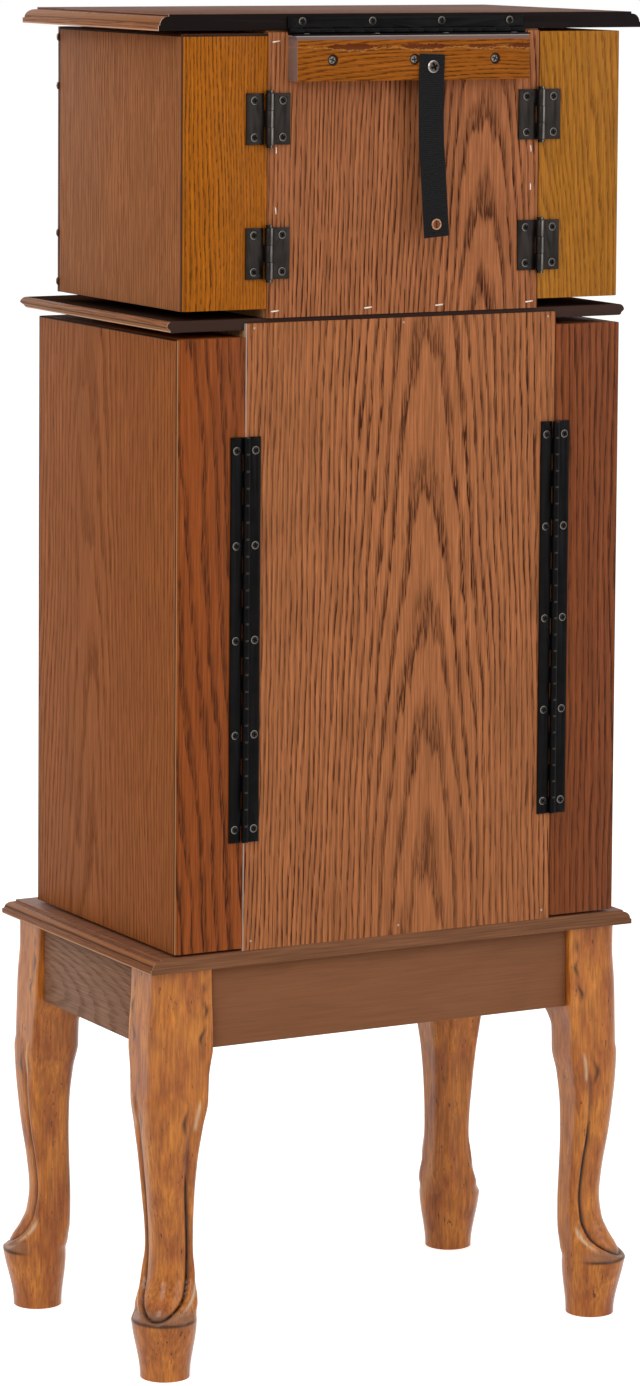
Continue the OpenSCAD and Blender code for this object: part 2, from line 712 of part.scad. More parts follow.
module lid_board() {
    color("saddlebrown") difference() {
        translate([0, 0, lid_z])
            edged_board(lid_w, lid_front_y, rear_y, lid_t, moulding(lid_t, 4, 1, 6.4));
        for (x = lid_screw_xs()) translate([x, rear_y + 1, lid_axis[1] + lid_screw_up])
            rotate([90, 0, 0]) cylinder(r = screw_r + shank_clear, h = screw_depth + 1);
    }
}

module lid_mirror() {
    color("lightblue") block_between(
        [-tray[0] + mirror_margin, tray[1] + tray_t + mirror_margin, lid_z - mirror_t],
        [tray[0] - mirror_margin, panel_y - mirror_margin, lid_z]);
}

module lid_hinge_leaf() {
    color("dimgray") difference() {
        translate([lid_hinge_w / 2, lid_axis[0], lid_axis[1]]) rotate([0, -90, 0])
            hinge_leaf(lid_hinge_w, lid_knuckles, 0, lid_leaf, piano_r, piano_pin_r, false, 0);
        leaf_holes([for (x = lid_screw_xs()) [x, lid_axis[1] + lid_screw_up]]);
    }
}

module lid_hinge_screws() {
    color("dimgray") screws_on_rear(
        [for (x = lid_screw_xs()) [x, lid_axis[1] + lid_screw_up]], leaf_t);
}

// ---------------------------------------------------------------- side doors

// A door is a shallow box on its side: stiles, rails and a side panel, open towards the case.
module door_frame(d, screws) {
    x = [d[5] + seam, d[5] + d[2] - side_panel_t];
    z = [d[0], d[0] + d[1]];
    bar = z[1] - door_rail_t - hook_drop;
    color("goldenrod") difference() {
        union() {
            block_between([x[0], rear_y - stile_t, z[0]], [x[1], rear_y, z[1]]);
            block_between([x[0], d[4], z[0]], [x[1], d[4] + stile_t, z[1]]);
            for (low = [z[0], z[1] - door_rail_t])
                block_between([x[0], d[4], low], [x[1], rear_y, low + door_rail_t]);
            block_between([x[1] - hook_bar[0], d[4], bar - hook_bar[1]], [x[1], rear_y, bar]);
        }
        screw_holes_y(screws, rear_y, screw_depth);
    }
}

module side_panel(d) {
    x = d[5] + d[2] - side_panel_t;
    color("sienna") block_between([x, d[4], d[0]], [x + side_panel_t, rear_y, d[0] + d[1]]);
}

// A brass hook: a shank from the bar, a bend and an upturned tip.
module hook() {
    rotate([0, -90, 0]) cylinder(r = hook_r, h = hook_reach - hook_bend);
    translate([-hook_reach + hook_bend, 0, hook_bend]) rotate([90, 0, 0]) rotate(180)
        rotate_extrude(angle = 90) translate([hook_bend, 0]) circle(r = hook_r);
    translate([-hook_reach, 0, hook_bend]) {
        cylinder(r = hook_r, h = hook_tip);
        translate([0, 0, hook_tip]) sphere(r = 1.5 * hook_r);
    }
}

module hooks(d) {
    x = d[5] + d[2] - side_panel_t - hook_bar[0];
    z = d[0] + d[1] - door_rail_t - hook_drop - hook_bar[1] / 2;
    from = d[4] + stile_t;
    step = (rear_y - stile_t - from) / hook_count;
    color("gold") for (i = [0:hook_count - 1]) translate([x, from + (i + 0.5) * step, z]) hook();
}

// Split turning on the front corner of an upper door.
module column() {
    r = column_r;
    h = UPPER[1];
    half_ring = 3;
    rings = [8, 45, h - 45, h - 8];
    profile = concat([[0, 0], [r, 0]],
        [for (z = rings) for (p = arc([0, 0], 1, -90, 90, 6))
            [r + column_ring * p[0], z + half_ring * p[1]]],
        [[r, h], [0, h]]);
    color("goldenrod") translate([UPPER[5] + UPPER[2] - r, UPPER[4], UPPER[0]])
        rotate(180) rotate_extrude(angle = 180) polygon(profile);
}

module upper_door_leaves() {
    color("dimgray") {
        for (z = butt_z) butt_leaf(z, true);
        screws_on_rear(butt_screws(1), leaf_t);
    }
}

module lower_door_leaf() {
    color("dimgray") {
        piano_leaf_on(true);
        screws_on_rear(piano_screws_at(1), leaf_t);
    }
}

// ---------------------------------------------------------------- drawers

function box_front(b) = b[4] + front_t;
function box_depth(b) = b[3] - back_t - front_t - drawer_stop;

module drawer_box(b) {
    half = b[2] - 1;
    h = b[1] - drawer_room;
    y = [box_front(b), box_front(b) + box_depth(b)];
    z = b[0] + seat;
    color("tan") difference() {
        block_between([-half, y[0], z], [half, y[1], z + h]);
        block_between([-half + drawer_wall, y[0] + drawer_wall, z + floor_rise + drawer_floor],
                      [half - drawer_wall, y[1] - drawer_wall, z + h + 1]);
        block_between([-half + drawer_wall, y[0] + drawer_wall, z - 1],
                      [half - drawer_wall, y[1] - drawer_wall, z + floor_rise]);
    }
}

module drawer_front(b) {
    half = b[2] - front_gap;
    h = b[1] - 2 * front_gap;
    z = b[0] + front_gap;
    edge = [[0, 0], [0, front_t - 4], [1.2, front_t - 4], [4.5, front_t]];
    color("sienna") translate([0, box_front(b), z]) rotate([90, 0, 0]) intersection() {
        rotate([90, 0, 0]) translate([0, 0, -h]) linear_extrude(h)
            polygon(concat([for (p = edge) [half - p[0], p[1]]],
                           [for (i = [3:-1:0]) [edge[i][0] - half, edge[i][1]]]));
        rotate([90, 0, 90]) translate([0, 0, -half]) linear_extrude(2 * half)
            polygon(concat([for (p = edge) [h - p[0], p[1]]],
                           [for (i = [3:-1:0]) [edge[i][0], edge[i][1]]]));
    }
}

// A turned knob on a small rose: heights and radii are shares of the knob's radius.
module drawer_knobs(b) {
    r = knob_d / 2;
    profile = concat([[0, 0], [0.7, 0], [0.7, 0.2], [0.4, 0.4], [0.4, 0.9]],
        [for (p = arc([0, 1.3], 1, -30, 90)) [p[0], 1.3 + 0.6 * (p[1] - 1.3)]]);
    color("darkgoldenrod") for (s = [1, -1])
        translate([s * knob_x * b[2], b[4], b[0] + b[1] / 2]) rotate([90, 0, 0])
            rotate_extrude() polygon(r * profile);
}

// ---------------------------------------------------------------- assembly

at_case() leg(true, 1);  // leg_front_right
at_case() leg(true, -1);  // leg_front_left
at_case() leg(false, 1);  // leg_rear_right
at_case() leg(false, -1);  // leg_rear_left
at_case() long_aprons();
at_case() short_aprons();
at_case() base_board();
at_case() waist_board();
at_case() lower_back_panel();
at_case() upper_back_panel();
at_case() case_sides(1);  // case_sides_right
at_case() case_sides(-1);  // case_sides_left
at_case() drawer_rails();
at_case() lid_tray();
at_case() ring_rolls();
at_case() hinge_block();
at_case() fixed_hinge_leaves();
at_case() case_screws();
at_case() panel_staples();
at_case() tip_strap();
at_case() strap_screw();
at_case() strap_eyelet();
at_case() lid_board();
at_case() lid_mirror();
at_case() lid_hinge_leaf();
at_case() lid_hinge_screws();

for (s = SIDES) at_case() on_side(s[1]) {
    door_frame(UPPER, butt_screws(1));
    side_panel(UPPER);
    column();
    hooks(UPPER);
    upper_door_leaves();
    door_frame(LOWER, piano_screws_at(1));
    side_panel(LOWER);
    hooks(LOWER);
    lower_door_leaf();
}

for (i = [0:len(BAYS) - 1]) at_case() {
    drawer_box(BAYS[i]);
    drawer_front(BAYS[i]);
    drawer_knobs(BAYS[i]);
}
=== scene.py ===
"""A two-tier jewelry armoire in oak finish, dressed piece by piece from the legs up."""
from functools import partial
from math import copysign, cos, exp, hypot, pi, radians, sin, sqrt, tau

import bmesh
import bpy
from mathutils import Matrix, Vector


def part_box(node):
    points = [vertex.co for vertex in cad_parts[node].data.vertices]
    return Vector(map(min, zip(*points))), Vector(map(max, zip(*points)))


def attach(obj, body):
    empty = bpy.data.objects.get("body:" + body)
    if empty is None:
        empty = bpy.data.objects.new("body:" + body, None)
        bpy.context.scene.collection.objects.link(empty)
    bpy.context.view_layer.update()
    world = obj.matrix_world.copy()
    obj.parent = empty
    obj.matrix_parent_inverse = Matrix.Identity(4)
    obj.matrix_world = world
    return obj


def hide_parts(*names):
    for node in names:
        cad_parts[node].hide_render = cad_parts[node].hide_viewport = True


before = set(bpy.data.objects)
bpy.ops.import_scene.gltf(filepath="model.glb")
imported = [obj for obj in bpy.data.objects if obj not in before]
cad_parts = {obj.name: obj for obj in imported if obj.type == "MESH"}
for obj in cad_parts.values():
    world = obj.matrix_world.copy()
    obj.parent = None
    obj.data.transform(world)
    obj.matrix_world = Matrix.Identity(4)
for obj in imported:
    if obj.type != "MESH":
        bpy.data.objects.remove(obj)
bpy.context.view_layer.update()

mm = 0.001

# ---------------- camera
# A long lens well behind the armoire and to its right, a little above the lid. The lens is shifted
# down, so that the case's upright edges nearly keep parallel.
CAMERA_AT = (1.86819, 3.3757, 1.10942)
CAMERA_YAW, CAMERA_PITCH, CAMERA_ROLL = 28.92, 5.07, 0.42
LENS, SENSOR, LENS_SHIFT = 130.7, 36.0, -0.26


def placed(name, data):
    """A new object in the scene."""
    made = bpy.data.objects.new(name, data)
    bpy.context.collection.objects.link(made)
    return made


camera = placed("camera", bpy.data.cameras.new("camera"))
camera.data.lens = LENS
camera.data.sensor_width = SENSOR
camera.data.shift_y = LENS_SHIFT
camera.matrix_world = (Matrix.Translation(CAMERA_AT)
                       @ Matrix.Rotation(radians(180 - CAMERA_YAW), 4, "Z")
                       @ Matrix.Rotation(radians(90 - CAMERA_PITCH), 4, "X")
                       @ Matrix.Rotation(radians(CAMERA_ROLL), 4, "Z"))
bpy.context.scene.camera = camera

# ---------------- legs
# Four cabriole legs, carved from rubberwood: a square post, a knee, a slim shank and a pad foot.
# A smooth tongue runs down the outer corner between two grooves and ends on top of the foot. They
# are stained golden brown and lacquered, with dark flecks rubbed into the pores. The grooves, the
# cracks and a line under the foot's rim are painted near black, partly painted shade and partly
# grime, the beads carry painted highlights, and the foot's ledge is painted a greyer brown.


def colour(code, alpha=1.0):
    """Linear RGBA of an sRGB hex value."""
    parts = [int(code[i:i + 2], 16) / 255 for i in (0, 2, 4)]
    return [p / 12.92 if p <= 0.04045 else ((p + 0.055) / 1.055) ** 2.4 for p in parts] + [alpha]


def node(tree, kind, *inputs, out=0, stops=(), **settings):
    """Adds a node. kind may carry an operation, as in "Math.ADD". inputs fill its sockets in
    order with values or other nodes' outputs, None skips one, and a keyword with a capital names
    a socket; other keywords are settings. stops fill a ramp."""
    kind, _, operation = kind.partition(".")
    made = tree.nodes.new(kind if "Node" in kind else "ShaderNode" + kind)
    if operation:
        made.operation = operation
    sockets = dict(enumerate(inputs))
    for key, value in settings.items():
        if key[0].isupper():
            sockets[key.replace("_", " ")] = value
        else:
            setattr(made, key, value)
    for key, value in sockets.items():
        if isinstance(value, bpy.types.NodeSocket):
            tree.links.new(value, made.inputs[key])
        elif value is not None:
            made.inputs[key].default_value = value
    for i, (place, shade) in enumerate(stops):
        stop = made.color_ramp.elements[i] if i < 2 else made.color_ramp.elements.new(place)
        stop.position = place
        stop.color = colour(shade) if isinstance(shade, str) else shade
    return made if out is None else made.outputs[out]


def socket(made, key):
    """An input of a material's shader, whose name may have underscores for its spaces."""
    return made.node_tree.nodes["Principled BSDF"].inputs[key.replace("_", " ")]


def finish(name, **sockets):
    """A new material, what adds its nodes, and its Object coordinates; sockets are set on its
    shader."""
    made = bpy.data.materials.new(name)
    made.use_nodes = True
    for key, value in sockets.items():
        socket(made, key).default_value = value
    add = partial(node, made.node_tree)
    return made, add, add("TexCoord", out="Object")


def coated(made, ground, *coats, **ends):
    """Finishes a material: a ground colour under coats of (how much of it shows, colour), the last
    on top, and the outputs that its shader's other sockets take."""
    for amount, coat in coats:
        coat = colour(coat) if isinstance(coat, str) else coat
        ground = node(made.node_tree, "Mix", amount, *[None] * 5, ground, coat, out=2,
                      data_type="RGBA")
    for key, value in dict(ends, Base_Color=ground).items():
        made.node_tree.links.new(value, socket(made, key))
    return made


def eased(table, at):
    """Monotone cubic through a table's rows of (place, values...), as a list of the values."""
    i = max(k for k in range(len(table) - 1) if table[k][0] <= at or k == 0)
    span = table[i + 1][0] - table[i][0]
    t = min(max((at - table[i][0]) / span, 0), 1)

    def rise(k, c):
        return (table[k + 1][c] - table[k][c]) / (table[k + 1][0] - table[k][0])

    def through(k, c):
        if k in (0, len(table) - 1) or rise(k - 1, c) * rise(k, c) <= 0:
            return 0.0
        return 2 * rise(k - 1, c) * rise(k, c) / (rise(k - 1, c) + rise(k, c))

    return [(1 + 2 * t) * (1 - t) ** 2 * table[i][c] + t * (1 - t) ** 2 * span * through(i, c)
            + t * t * (3 - 2 * t) * table[i + 1][c] + t * t * (t - 1) * span * through(i + 1, c)
            for c in range(1, len(table[0]))]


def smooth(low, high, value):
    """0 at low, 1 at high, and an S-curve between them."""
    t = min(max((value - low) / (high - low), 0), 1)
    return t * t * (3 - 2 * t)


def add_piece(name, mesh, body, material, replaced=(), crease=40):
    """Puts a finished mesh in the scene as a piece that rides on a body."""
    mesh.materials.clear()
    mesh.materials.append(material)
    for face in mesh.polygons:
        face.use_smooth = True
        face.material_index = 0
    mesh.set_sharp_from_angle(angle=radians(crease))
    piece = placed(name, mesh)
    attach(piece, body)
    if replaced:
        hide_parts(*replaced)
    return piece


def kept(mesh, name):
    """Data that holds a mesh under construction, which is freed."""
    made = bpy.data.meshes.new(name)
    mesh.to_mesh(made)
    mesh.free()
    return made


def circle(count, start=0.0):
    """(cosine, sine) of evenly spaced turns."""
    return [(cos(tau * (k + start) / count), sin(tau * (k + start) / count))
            for k in range(count)]


def banded(mesh, rings, capped=True):
    """Faces between each ring of points and the next, and over the first and the last ring."""
    for below, above in zip(rings, rings[1:]):
        sides = max(len(below), len(above))
        for k in range(sides):
            n = (k + 1) % sides
            mesh.faces.new(list(dict.fromkeys((below[k % len(below)], below[n % len(below)],
                                               above[n % len(above)], above[k % len(above)]))))
    for ring in (rings[0][::-1], rings[-1]):
        if capped and len(ring) > 1:
            mesh.faces.new(ring)


# Height, outer and inner reach from the post's centre, radii of the outer, side and inner corners
LEG = [(0, 27.1, -9.9, 18.5, 18.5, 18.5), (41, 34.5, -13.9, 24.4, 24.4, 24.4),
       (44, 34.9, -13.9, 24.4, 24.4, 24.4), (50, 30, -13.9, 20, 18, 20),
       (56, 26, -13.7, 16, 10, 17), (64, 21.8, -13.5, 14, 6, 13), (76, 17.8, -13.3, 13, 5.5, 11),
       (94, 16.2, -13, 13, 6, 10), (116, 17.6, -12.4, 13, 6, 10), (139.5, 20.4, -12, 13, 6, 10),
       (161.5, 22.8, -12.6, 14, 5.5, 11), (189.5, 25, -15.8, 15, 4.5, 15),
       (209.5, 25.8, -19.5, 16, 4, 18), (225.5, 25.6, -19.5, 16, 2.5, 17),
       (235.5, 25.4, -20.5, 16, 2, 12), (247.5, 25.2, -22.5, 16, 1.5, 2),
       (263.5, 24.8, -22.5, 16, 1.5, 1.5), (287.5, 23, -22.5, 14, 1.5, 1.5),
       (309, 22.5, -22.5, 12, 1.5, 1.5)]
# Half width of the tongue by height, down to the centre of its rounded tip
TONGUE = [(64, 15), (92, 14.5), (138, 15), (160, 16.2), (180, 18), (200, 20.5), (215, 23),
          (232, 27), (245, 31), (309, 40)]
TIP_LENGTH = 15
RING_POINTS = 120
FOOT_REACH = 34.9 * mm      # from the post's centre to the foot's toe
FINE_RING, COARSE_RING = 1.0, 2.2
FOOT_TOP = 80


def leg_section(height):
    """A ring of the leg: a square with three kinds of round corner, its points evenly spaced."""
    outer, inner, spine, side, inside = eased(LEG, height)
    most = 0.49 * (outer - inner)
    corners = [((outer, inner), min(side, most), -90), ((outer, outer), min(spine, most), 0),
               ((inner, outer), min(side, most), 90), ((inner, inner), min(inside, most), 180)]
    line = []
    for (x, y), radius, start in corners:
        cx = x - radius if x == outer else x + radius
        cy = y - radius if y == outer else y + radius
        line += [Vector((cx + radius * cos(radians(start + 90 * k / 14)),
                         cy + radius * sin(radians(start + 90 * k / 14))))
                 for k in range(15)]
    middle = line[-8]          # the inside corner, opposite the spine
    line = line[-7:] + line[:-7]
    line = [middle] + line
    steps = [(line[(k + 1) % len(line)] - line[k]).length for k in range(len(line))]
    total, ring, k, gone = sum(steps), [], 0, 0.0
    for n in range(RING_POINTS):
        want = total * n / RING_POINTS
        while gone + steps[k] < want:
            gone += steps[k]
            k += 1
        ring.append(line[k].lerp(line[(k + 1) % len(line)], (want - gone) / max(steps[k], 1e-9)))
    return ring


def hump(value, middle, width):
    """1 at the middle of a bell curve, and 0 well beyond its width."""
    return exp(-((value - middle) / width) ** 2)


def carving(across, height):
    """At a place on the outer faces: how far the carving stands out, how dark it is painted in the
    grooves, the cracks and a blotch by the ear, partly as painted shade and partly as grime, and
    how much painted highlight lies on the beads' shoulders and by the ear."""
    if height < TONGUE[0][0]:
        half = TONGUE[0][1]
        off = (hypot(across / half, (TONGUE[0][0] - height) / TIP_LENGTH) - 1) * half
    else:
        off = abs(across) - eased(TONGUE, height)[0]
    there = 1 - smooth(206, 216, height)
    depth = (1 - smooth(186, 198, height)) * (1 - 0.5 * smooth(140, 162, height))
    # The grooves, a blotch by the ear and cracks on the post are painted dark, partly painted
    # shade and partly grime.
    cut = hump(off, 1.2, 1.0) * depth
    low_bead = 1 - smooth(70, 120, height)
    bead = hump(off, 4.2, 1.5) * (0.7 + 1.2 * low_bead * smooth(46, 58, height))
    ear = 1.5 * hump(off, 3.4, 1.5) * hump(height, 203, 8)
    drift = 1.2 * sin(height / 4.3)
    blotch = 0.85 * hump(off + drift, -2.4, 1.2) * hump(height, 194, 9)
    crack = 27.5 + 1.1 * sin(height / 6) + 0.6 * sin(height / 2.3)
    crack = 0.9 * (hump(abs(across), crack, 1.1) * smooth(238, 248, height)
                   * (1 - smooth(292, 302, height)) * (0.6 + 0.4 * sin(height / 3.1)))
    # Painted highlight: a pale line on the lower bead's shoulder and a stroke by the ear.
    glint = hump(off, 6.4, 0.9) * smooth(50, 58, height) * (
        1 - smooth(84, 100, height))
    glint += 0.8 * hump(off, 3.6, 0.9) * smooth(186, 192, height) * (
        1 - smooth(205, 212, height))
    crown = sqrt(min(max(-off / 5, 0), 1)) * 1.1
    return there * (crown + bead + ear - 1.7 * cut), max(cut, blotch, crack), min(glint, 1.0)


def leg_mesh(name, corner_x, corner_y):
    """The carved leg under one corner of the base; the signs say which."""
    low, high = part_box(name)
    post = Vector((corner_x * (abs(high.x if corner_x > 0 else low.x) - FOOT_REACH), 0))
    post.y = high.y - FOOT_REACH if corner_y > 0 else low.y + FOOT_REACH
    heights, height = [], 0.0
    while height < LEG[-1][0] - 0.5:
        heights.append(height)
        height += FINE_RING if height < FOOT_TOP else COARSE_RING
    heights.append(LEG[-1][0])
    mesh = bmesh.new()
    shade_and_grime = mesh.verts.layers.float.new("shade_and_grime")
    ledge = mesh.verts.layers.float.new("ledge")
    painted_light = mesh.verts.layers.float.new("painted_light")
    rings = [[mesh.verts.new((p.x, p.y, h)) for p in leg_section(h)] for h in heights]
    banded(mesh, rings)
    mesh.normal_update()
    diagonal = Vector((1, 1, 0)).normalized()
    moved = []
    for ring in rings[1:-1]:
        for vert in ring:
            facing = smooth(-0.05, 0.3, vert.normal.dot(diagonal))
            stand, cut, glint = carving((vert.co.x - vert.co.y) / sqrt(2), vert.co.z)
            slope = smooth(38, 46, vert.co.z)
            moved.append((vert, vert.normal * stand * facing * slope))
            toe = smooth(0.0, 0.6, Vector((vert.co.x - 5, vert.co.y - 5)).normalized()
                         .dot(diagonal.xy))
            # Painted shade: a dark line under the foot's rim, where the ledge overhangs the foot.
            rim = hump(vert.co.z, 44.5, 1.1)
            vert[shade_and_grime] = max(cut * facing * slope, 0.9 * rim * toe)
            vert[ledge] = toe * smooth(44, 46, vert.co.z) * (1 - smooth(49, 56, vert.co.z))
            # The painted highlight along the beads, kept as an attribute for the material.
            vert[painted_light] = glint * facing
    for vert, step in moved:
        vert.co += step
    for vert in mesh.verts:
        vert.co = Vector((post.x + corner_x * vert.co.x * mm, post.y + corner_y * vert.co.y * mm,
                          vert.co.z * mm))
    if corner_x * corner_y < 0:
        bmesh.ops.reverse_faces(mesh, faces=mesh.faces)
    return kept(mesh, name)


def stained_rubberwood():
    """Rubberwood under a golden stain and a glossy lacquer: mottled colour, short dark flecks,
    painted shade and grime in the cuts, painted highlights and a greyer ledge.
    """
    made, add, place = finish("stained_rubberwood", IOR=1.5, Specular_IOR_Level=0.08,
                               Coat_Weight=0.4, Coat_Roughness=0.14)
    patches = add("VectorMath.MULTIPLY", place, (80, 80, 26))
    mottle = add("TexNoise", patches, Scale=1.0, Detail=4.0, Roughness=0.6)
    stain = add("ValToRGB", mottle, stops=[(0.32, "98501F"), (0.68, "C87C30"), (0.5, "B56A2A")])
    grain = add("VectorMath.MULTIPLY", place, (650, 650, 45))
    fibre = add("TexNoise", grain, Scale=1.0, Detail=3.0)
    fibre_tone = add("MapRange", fibre, 0.3, 0.7, 0.7, 1.3)
    fleck_place = add("VectorMath.MULTIPLY", place, (620, 620, 150))
    fleck_noise = add("TexNoise", fleck_place, Scale=1.0, Detail=3.0)
    where = add("TexNoise", place, Scale=60.0, Detail=2.0)
    most = add("MapRange", where, 0.4, 0.7, -0.03, 0.08)
    shifted = add("Math.ADD", fleck_noise, most)
    flecks = add("MapRange", shifted, 0.68, 0.74, 0.0, 0.8)
    shade_and_grime = add("Attribute", attribute_name="shade_and_grime", out="Fac")
    painted_light = add("Attribute", attribute_name="painted_light", out="Fac")
    # Painted highlight: a pale cream on the beads' shoulders and by the ear.
    painted_highlight = add("Math.MULTIPLY", painted_light, 0.75)
    # Painted shade and grime: near black in the grooves, the cracks and under the foot's rim.
    cut_shade_and_grime = add("Math.MULTIPLY", shade_and_grime, 1.1, use_clamp=True)
    dark = add("Math.MAXIMUM", flecks, cut_shade_and_grime)
    toned = add("VectorMath.SCALE", stain, Scale=fibre_tone)
    # The foot's ledge, just above its rim, is painted a greyer brown.
    ledge = add("Attribute", attribute_name="ledge", out="Fac")
    greyed_ledge = add("Math.MULTIPLY", ledge, 0.6)
    rough = add("MapRange", mottle, 0.3, 0.7, 0.28, 0.4)
    bump = add("Bump", Strength=0.5, Distance=0.0003, Height=fibre)
    return coated(made, toned, (greyed_ledge, "84644F"), (painted_highlight, "E4C8A4"), (dark, "220E05"),
                  Roughness=rough, Normal=bump)


rubberwood = stained_rubberwood()
for leg_name, corner_x, corner_y in (("leg_front_right", 1, -1), ("leg_front_left", -1, -1),
                                     ("leg_rear_right", 1, 1), ("leg_rear_left", -1, 1)):
    add_piece(leg_name + "_carved", leg_mesh(leg_name, corner_x, corner_y), "case", rubberwood,
              [leg_name], crease=50)

# ---------------- aprons and base board
# Four plain boards dowelled between the posts, and a moulded board on top of them. All are stained
# a duller brown than the legs. Lines of painted highlight and painted shade run along the moulded
# edges, and the sawn rear edge stays dark.

BAND_BLUR = 0.15 * mm


def oak(name, light, dark, along="Z", across="X", pith=(0, 40), slope=0.06, ring=3.2,
        pore=(0.8, 16), contrast=0.85, rough=0.5, gloss=0.08, seed=0, sway=(12, 8), lean=0.0,
        fibre_tone=0.27, bands=()):
    """Plain-sawn oak. Growth rings cut at a slant make nested pointed arches round the pith, and
    open pores in the early wood of each ring show as rows of dark dashes along the grain.
    pith is its place across and its depth in mm, slope how fast that depth grows along the grain,
    ring the width of a year's growth, pore a dash's width and length, and fibre_tone how far the
    fibres lighten and darken. bands are stretches of (axis, low, high, colour) in metres, where
    an edge took more stain or its veneer ends, or that carry a line of painted highlight or
    painted shade."""
    made, add, place = finish(name, IOR=1.5, Specular_IOR_Level=gloss)
    axes = add("SeparateXYZ", place, out=None).outputs
    depth = ({"X", "Y", "Z"} - {along, across}).pop()
    turned = add("CombineXYZ", axes[across], axes[depth], axes[along])
    board = add("VectorMath.MULTIPLY_ADD", turned, (1000,) * 3, (0, 900 * seed, 0))
    parts = add("SeparateXYZ", board, out=None).outputs
    # Noises, each with its grain's width and length in mm
    drift, jag, pore_noise, broad, fibre = (
        add("TexNoise", add("VectorMath.MULTIPLY", board, (1 / wide, 1 / wide, 1 / long)),
            Scale=1.0, **look)
        for wide, long, look in ((48, 260, dict(Detail=3.0, Roughness=0.45, out="Color")),
                                 (5, 55, dict(Detail=2.0)), (*pore, dict(Detail=1.0)),
                                 (60, 420, dict(Detail=2.0)), (1.1, 45, dict(Detail=2.0))))
    drift_by = add("SeparateXYZ", drift, out=None).outputs
    side = add("Math.MULTIPLY_ADD", drift_by[0], 2 * sway[0], -sway[0] - pith[0])
    side = add("Math.MULTIPLY_ADD", parts[2], lean, add("Math.ADD", parts[0], side))
    deep = add("Math.MULTIPLY_ADD", drift_by[1], 2 * sway[1], pith[1] - sway[1])
    deep = add("Math.MULTIPLY_ADD", parts[2], slope, deep)
    both = add("CombineXYZ", side, deep)
    radius = add("Math.MULTIPLY_ADD", jag, 0.7 * ring, add("VectorMath.LENGTH", both, out="Value"))
    years = add("Math.DIVIDE", radius, ring)
    phase = add("Math.FRACT", years)
    early = add("ValToRGB", phase,
                stops=[(0.0, (0, 0, 0, 1)), (1.0, (0, 0, 0, 1)), (0.1, (1, 1, 1, 1)),
                       (0.34, (0.75,) * 3 + (1,)), (0.55, (0.12,) * 3 + (1,))])
    pores = add("MapRange", pore_noise, 0.46, 0.55, 0.0, 1.0)
    early_dark = add("Math.MULTIPLY", early, add("Math.MULTIPLY_ADD", pores, 0.6, 0.4))
    late_dark = add("Math.MULTIPLY", pores, 0.16)
    depth_of_tone = add("MapRange", broad, 0.3, 0.7, 0.65, 1.1)
    marks = add("Math.MULTIPLY", add("Math.MAXIMUM", early_dark, late_dark), depth_of_tone)
    marks = add("Math.MULTIPLY", marks, contrast, use_clamp=True)
    fibre = add("MapRange", fibre, 0.3, 0.7, 1 - fibre_tone, 1 + fibre_tone)
    tone = add("Math.MULTIPLY", add("MapRange", broad, 0.3, 0.7, 0.9, 1.08), fibre)
    ground = add("VectorMath.SCALE", colour(light)[:3], Scale=tone)
    coats = [(marks, dark)]
    for axis, low, high, band in bands:
        off = add("Math.ABSOLUTE", add("Math.SUBTRACT", axes[axis], (low + high) / 2))
        inside = add("MapRange", off, (high - low) / 2 + BAND_BLUR, (high - low) / 2)
        coats.append((inside, band))
    dull = add("MapRange", marks, 0.0, 1.0, rough, rough + 0.25)
    height = add("Math.SUBTRACT", 1.0, marks)
    bump = add("Bump", Strength=0.6, Distance=0.0002, Height=height)
    return coated(made, ground, *coats, Roughness=dull, Normal=bump)


def solids(node_name):
    """A merged copy of a CAD node, and (lowest corner, highest corner, points) of its solids."""
    mesh = bmesh.new()
    mesh.from_mesh(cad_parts[node_name].data)
    bmesh.ops.remove_doubles(mesh, verts=mesh.verts, dist=1e-6)
    left, found = set(mesh.verts), []
    while left:
        todo, points = [left.pop()], []
        while todo:
            points.append(todo.pop())
            for edge in points[-1].link_edges:
                other = edge.other_vert(points[-1])
                if other in left:
                    left.remove(other)
                    todo.append(other)
        found.append((Vector([min(p.co[k] for p in points) for k in range(3)]),
                      Vector([max(p.co[k] for p in points) for k in range(3)]), points))
    return mesh, sorted(found, key=lambda solid: [round(solid[0][k], 5) for k in (2, 0, 1)])


def evaluated(holder, *spares):
    """The mesh that an object's modifiers make of it; the object and its spares are removed."""
    made = bpy.data.meshes.new_from_object(
        holder.evaluated_get(bpy.context.evaluated_depsgraph_get()))
    for spare in (holder, *spares):
        bpy.data.objects.remove(spare)
    return made


def dressed(node_name, body, material, round_edge=0.5, crease=35, keep=None):
    """A copy of a CAD piece with its sharp edges eased by a small round, standing for the node.
    keep picks the solids of the node that are copied, by their size."""
    mesh, found = solids(node_name)
    for low, high, points in found:
        if keep and not keep(high - low):
            bmesh.ops.delete(mesh, geom=points, context="VERTS")
    bmesh.ops.dissolve_limit(mesh, angle_limit=radians(1), verts=mesh.verts, edges=mesh.edges)
    made = kept(mesh, node_name)
    if round_edge:
        blank = placed("blank", made)
        bevel = blank.modifiers.new("eased", "BEVEL")
        bevel.width, bevel.segments = round_edge * mm, 2
        bevel.limit_method, bevel.angle_limit = "ANGLE", radians(crease)
        made = evaluated(blank)
    return add_piece(node_name + "_finished", made, body, material, [node_name], crease)


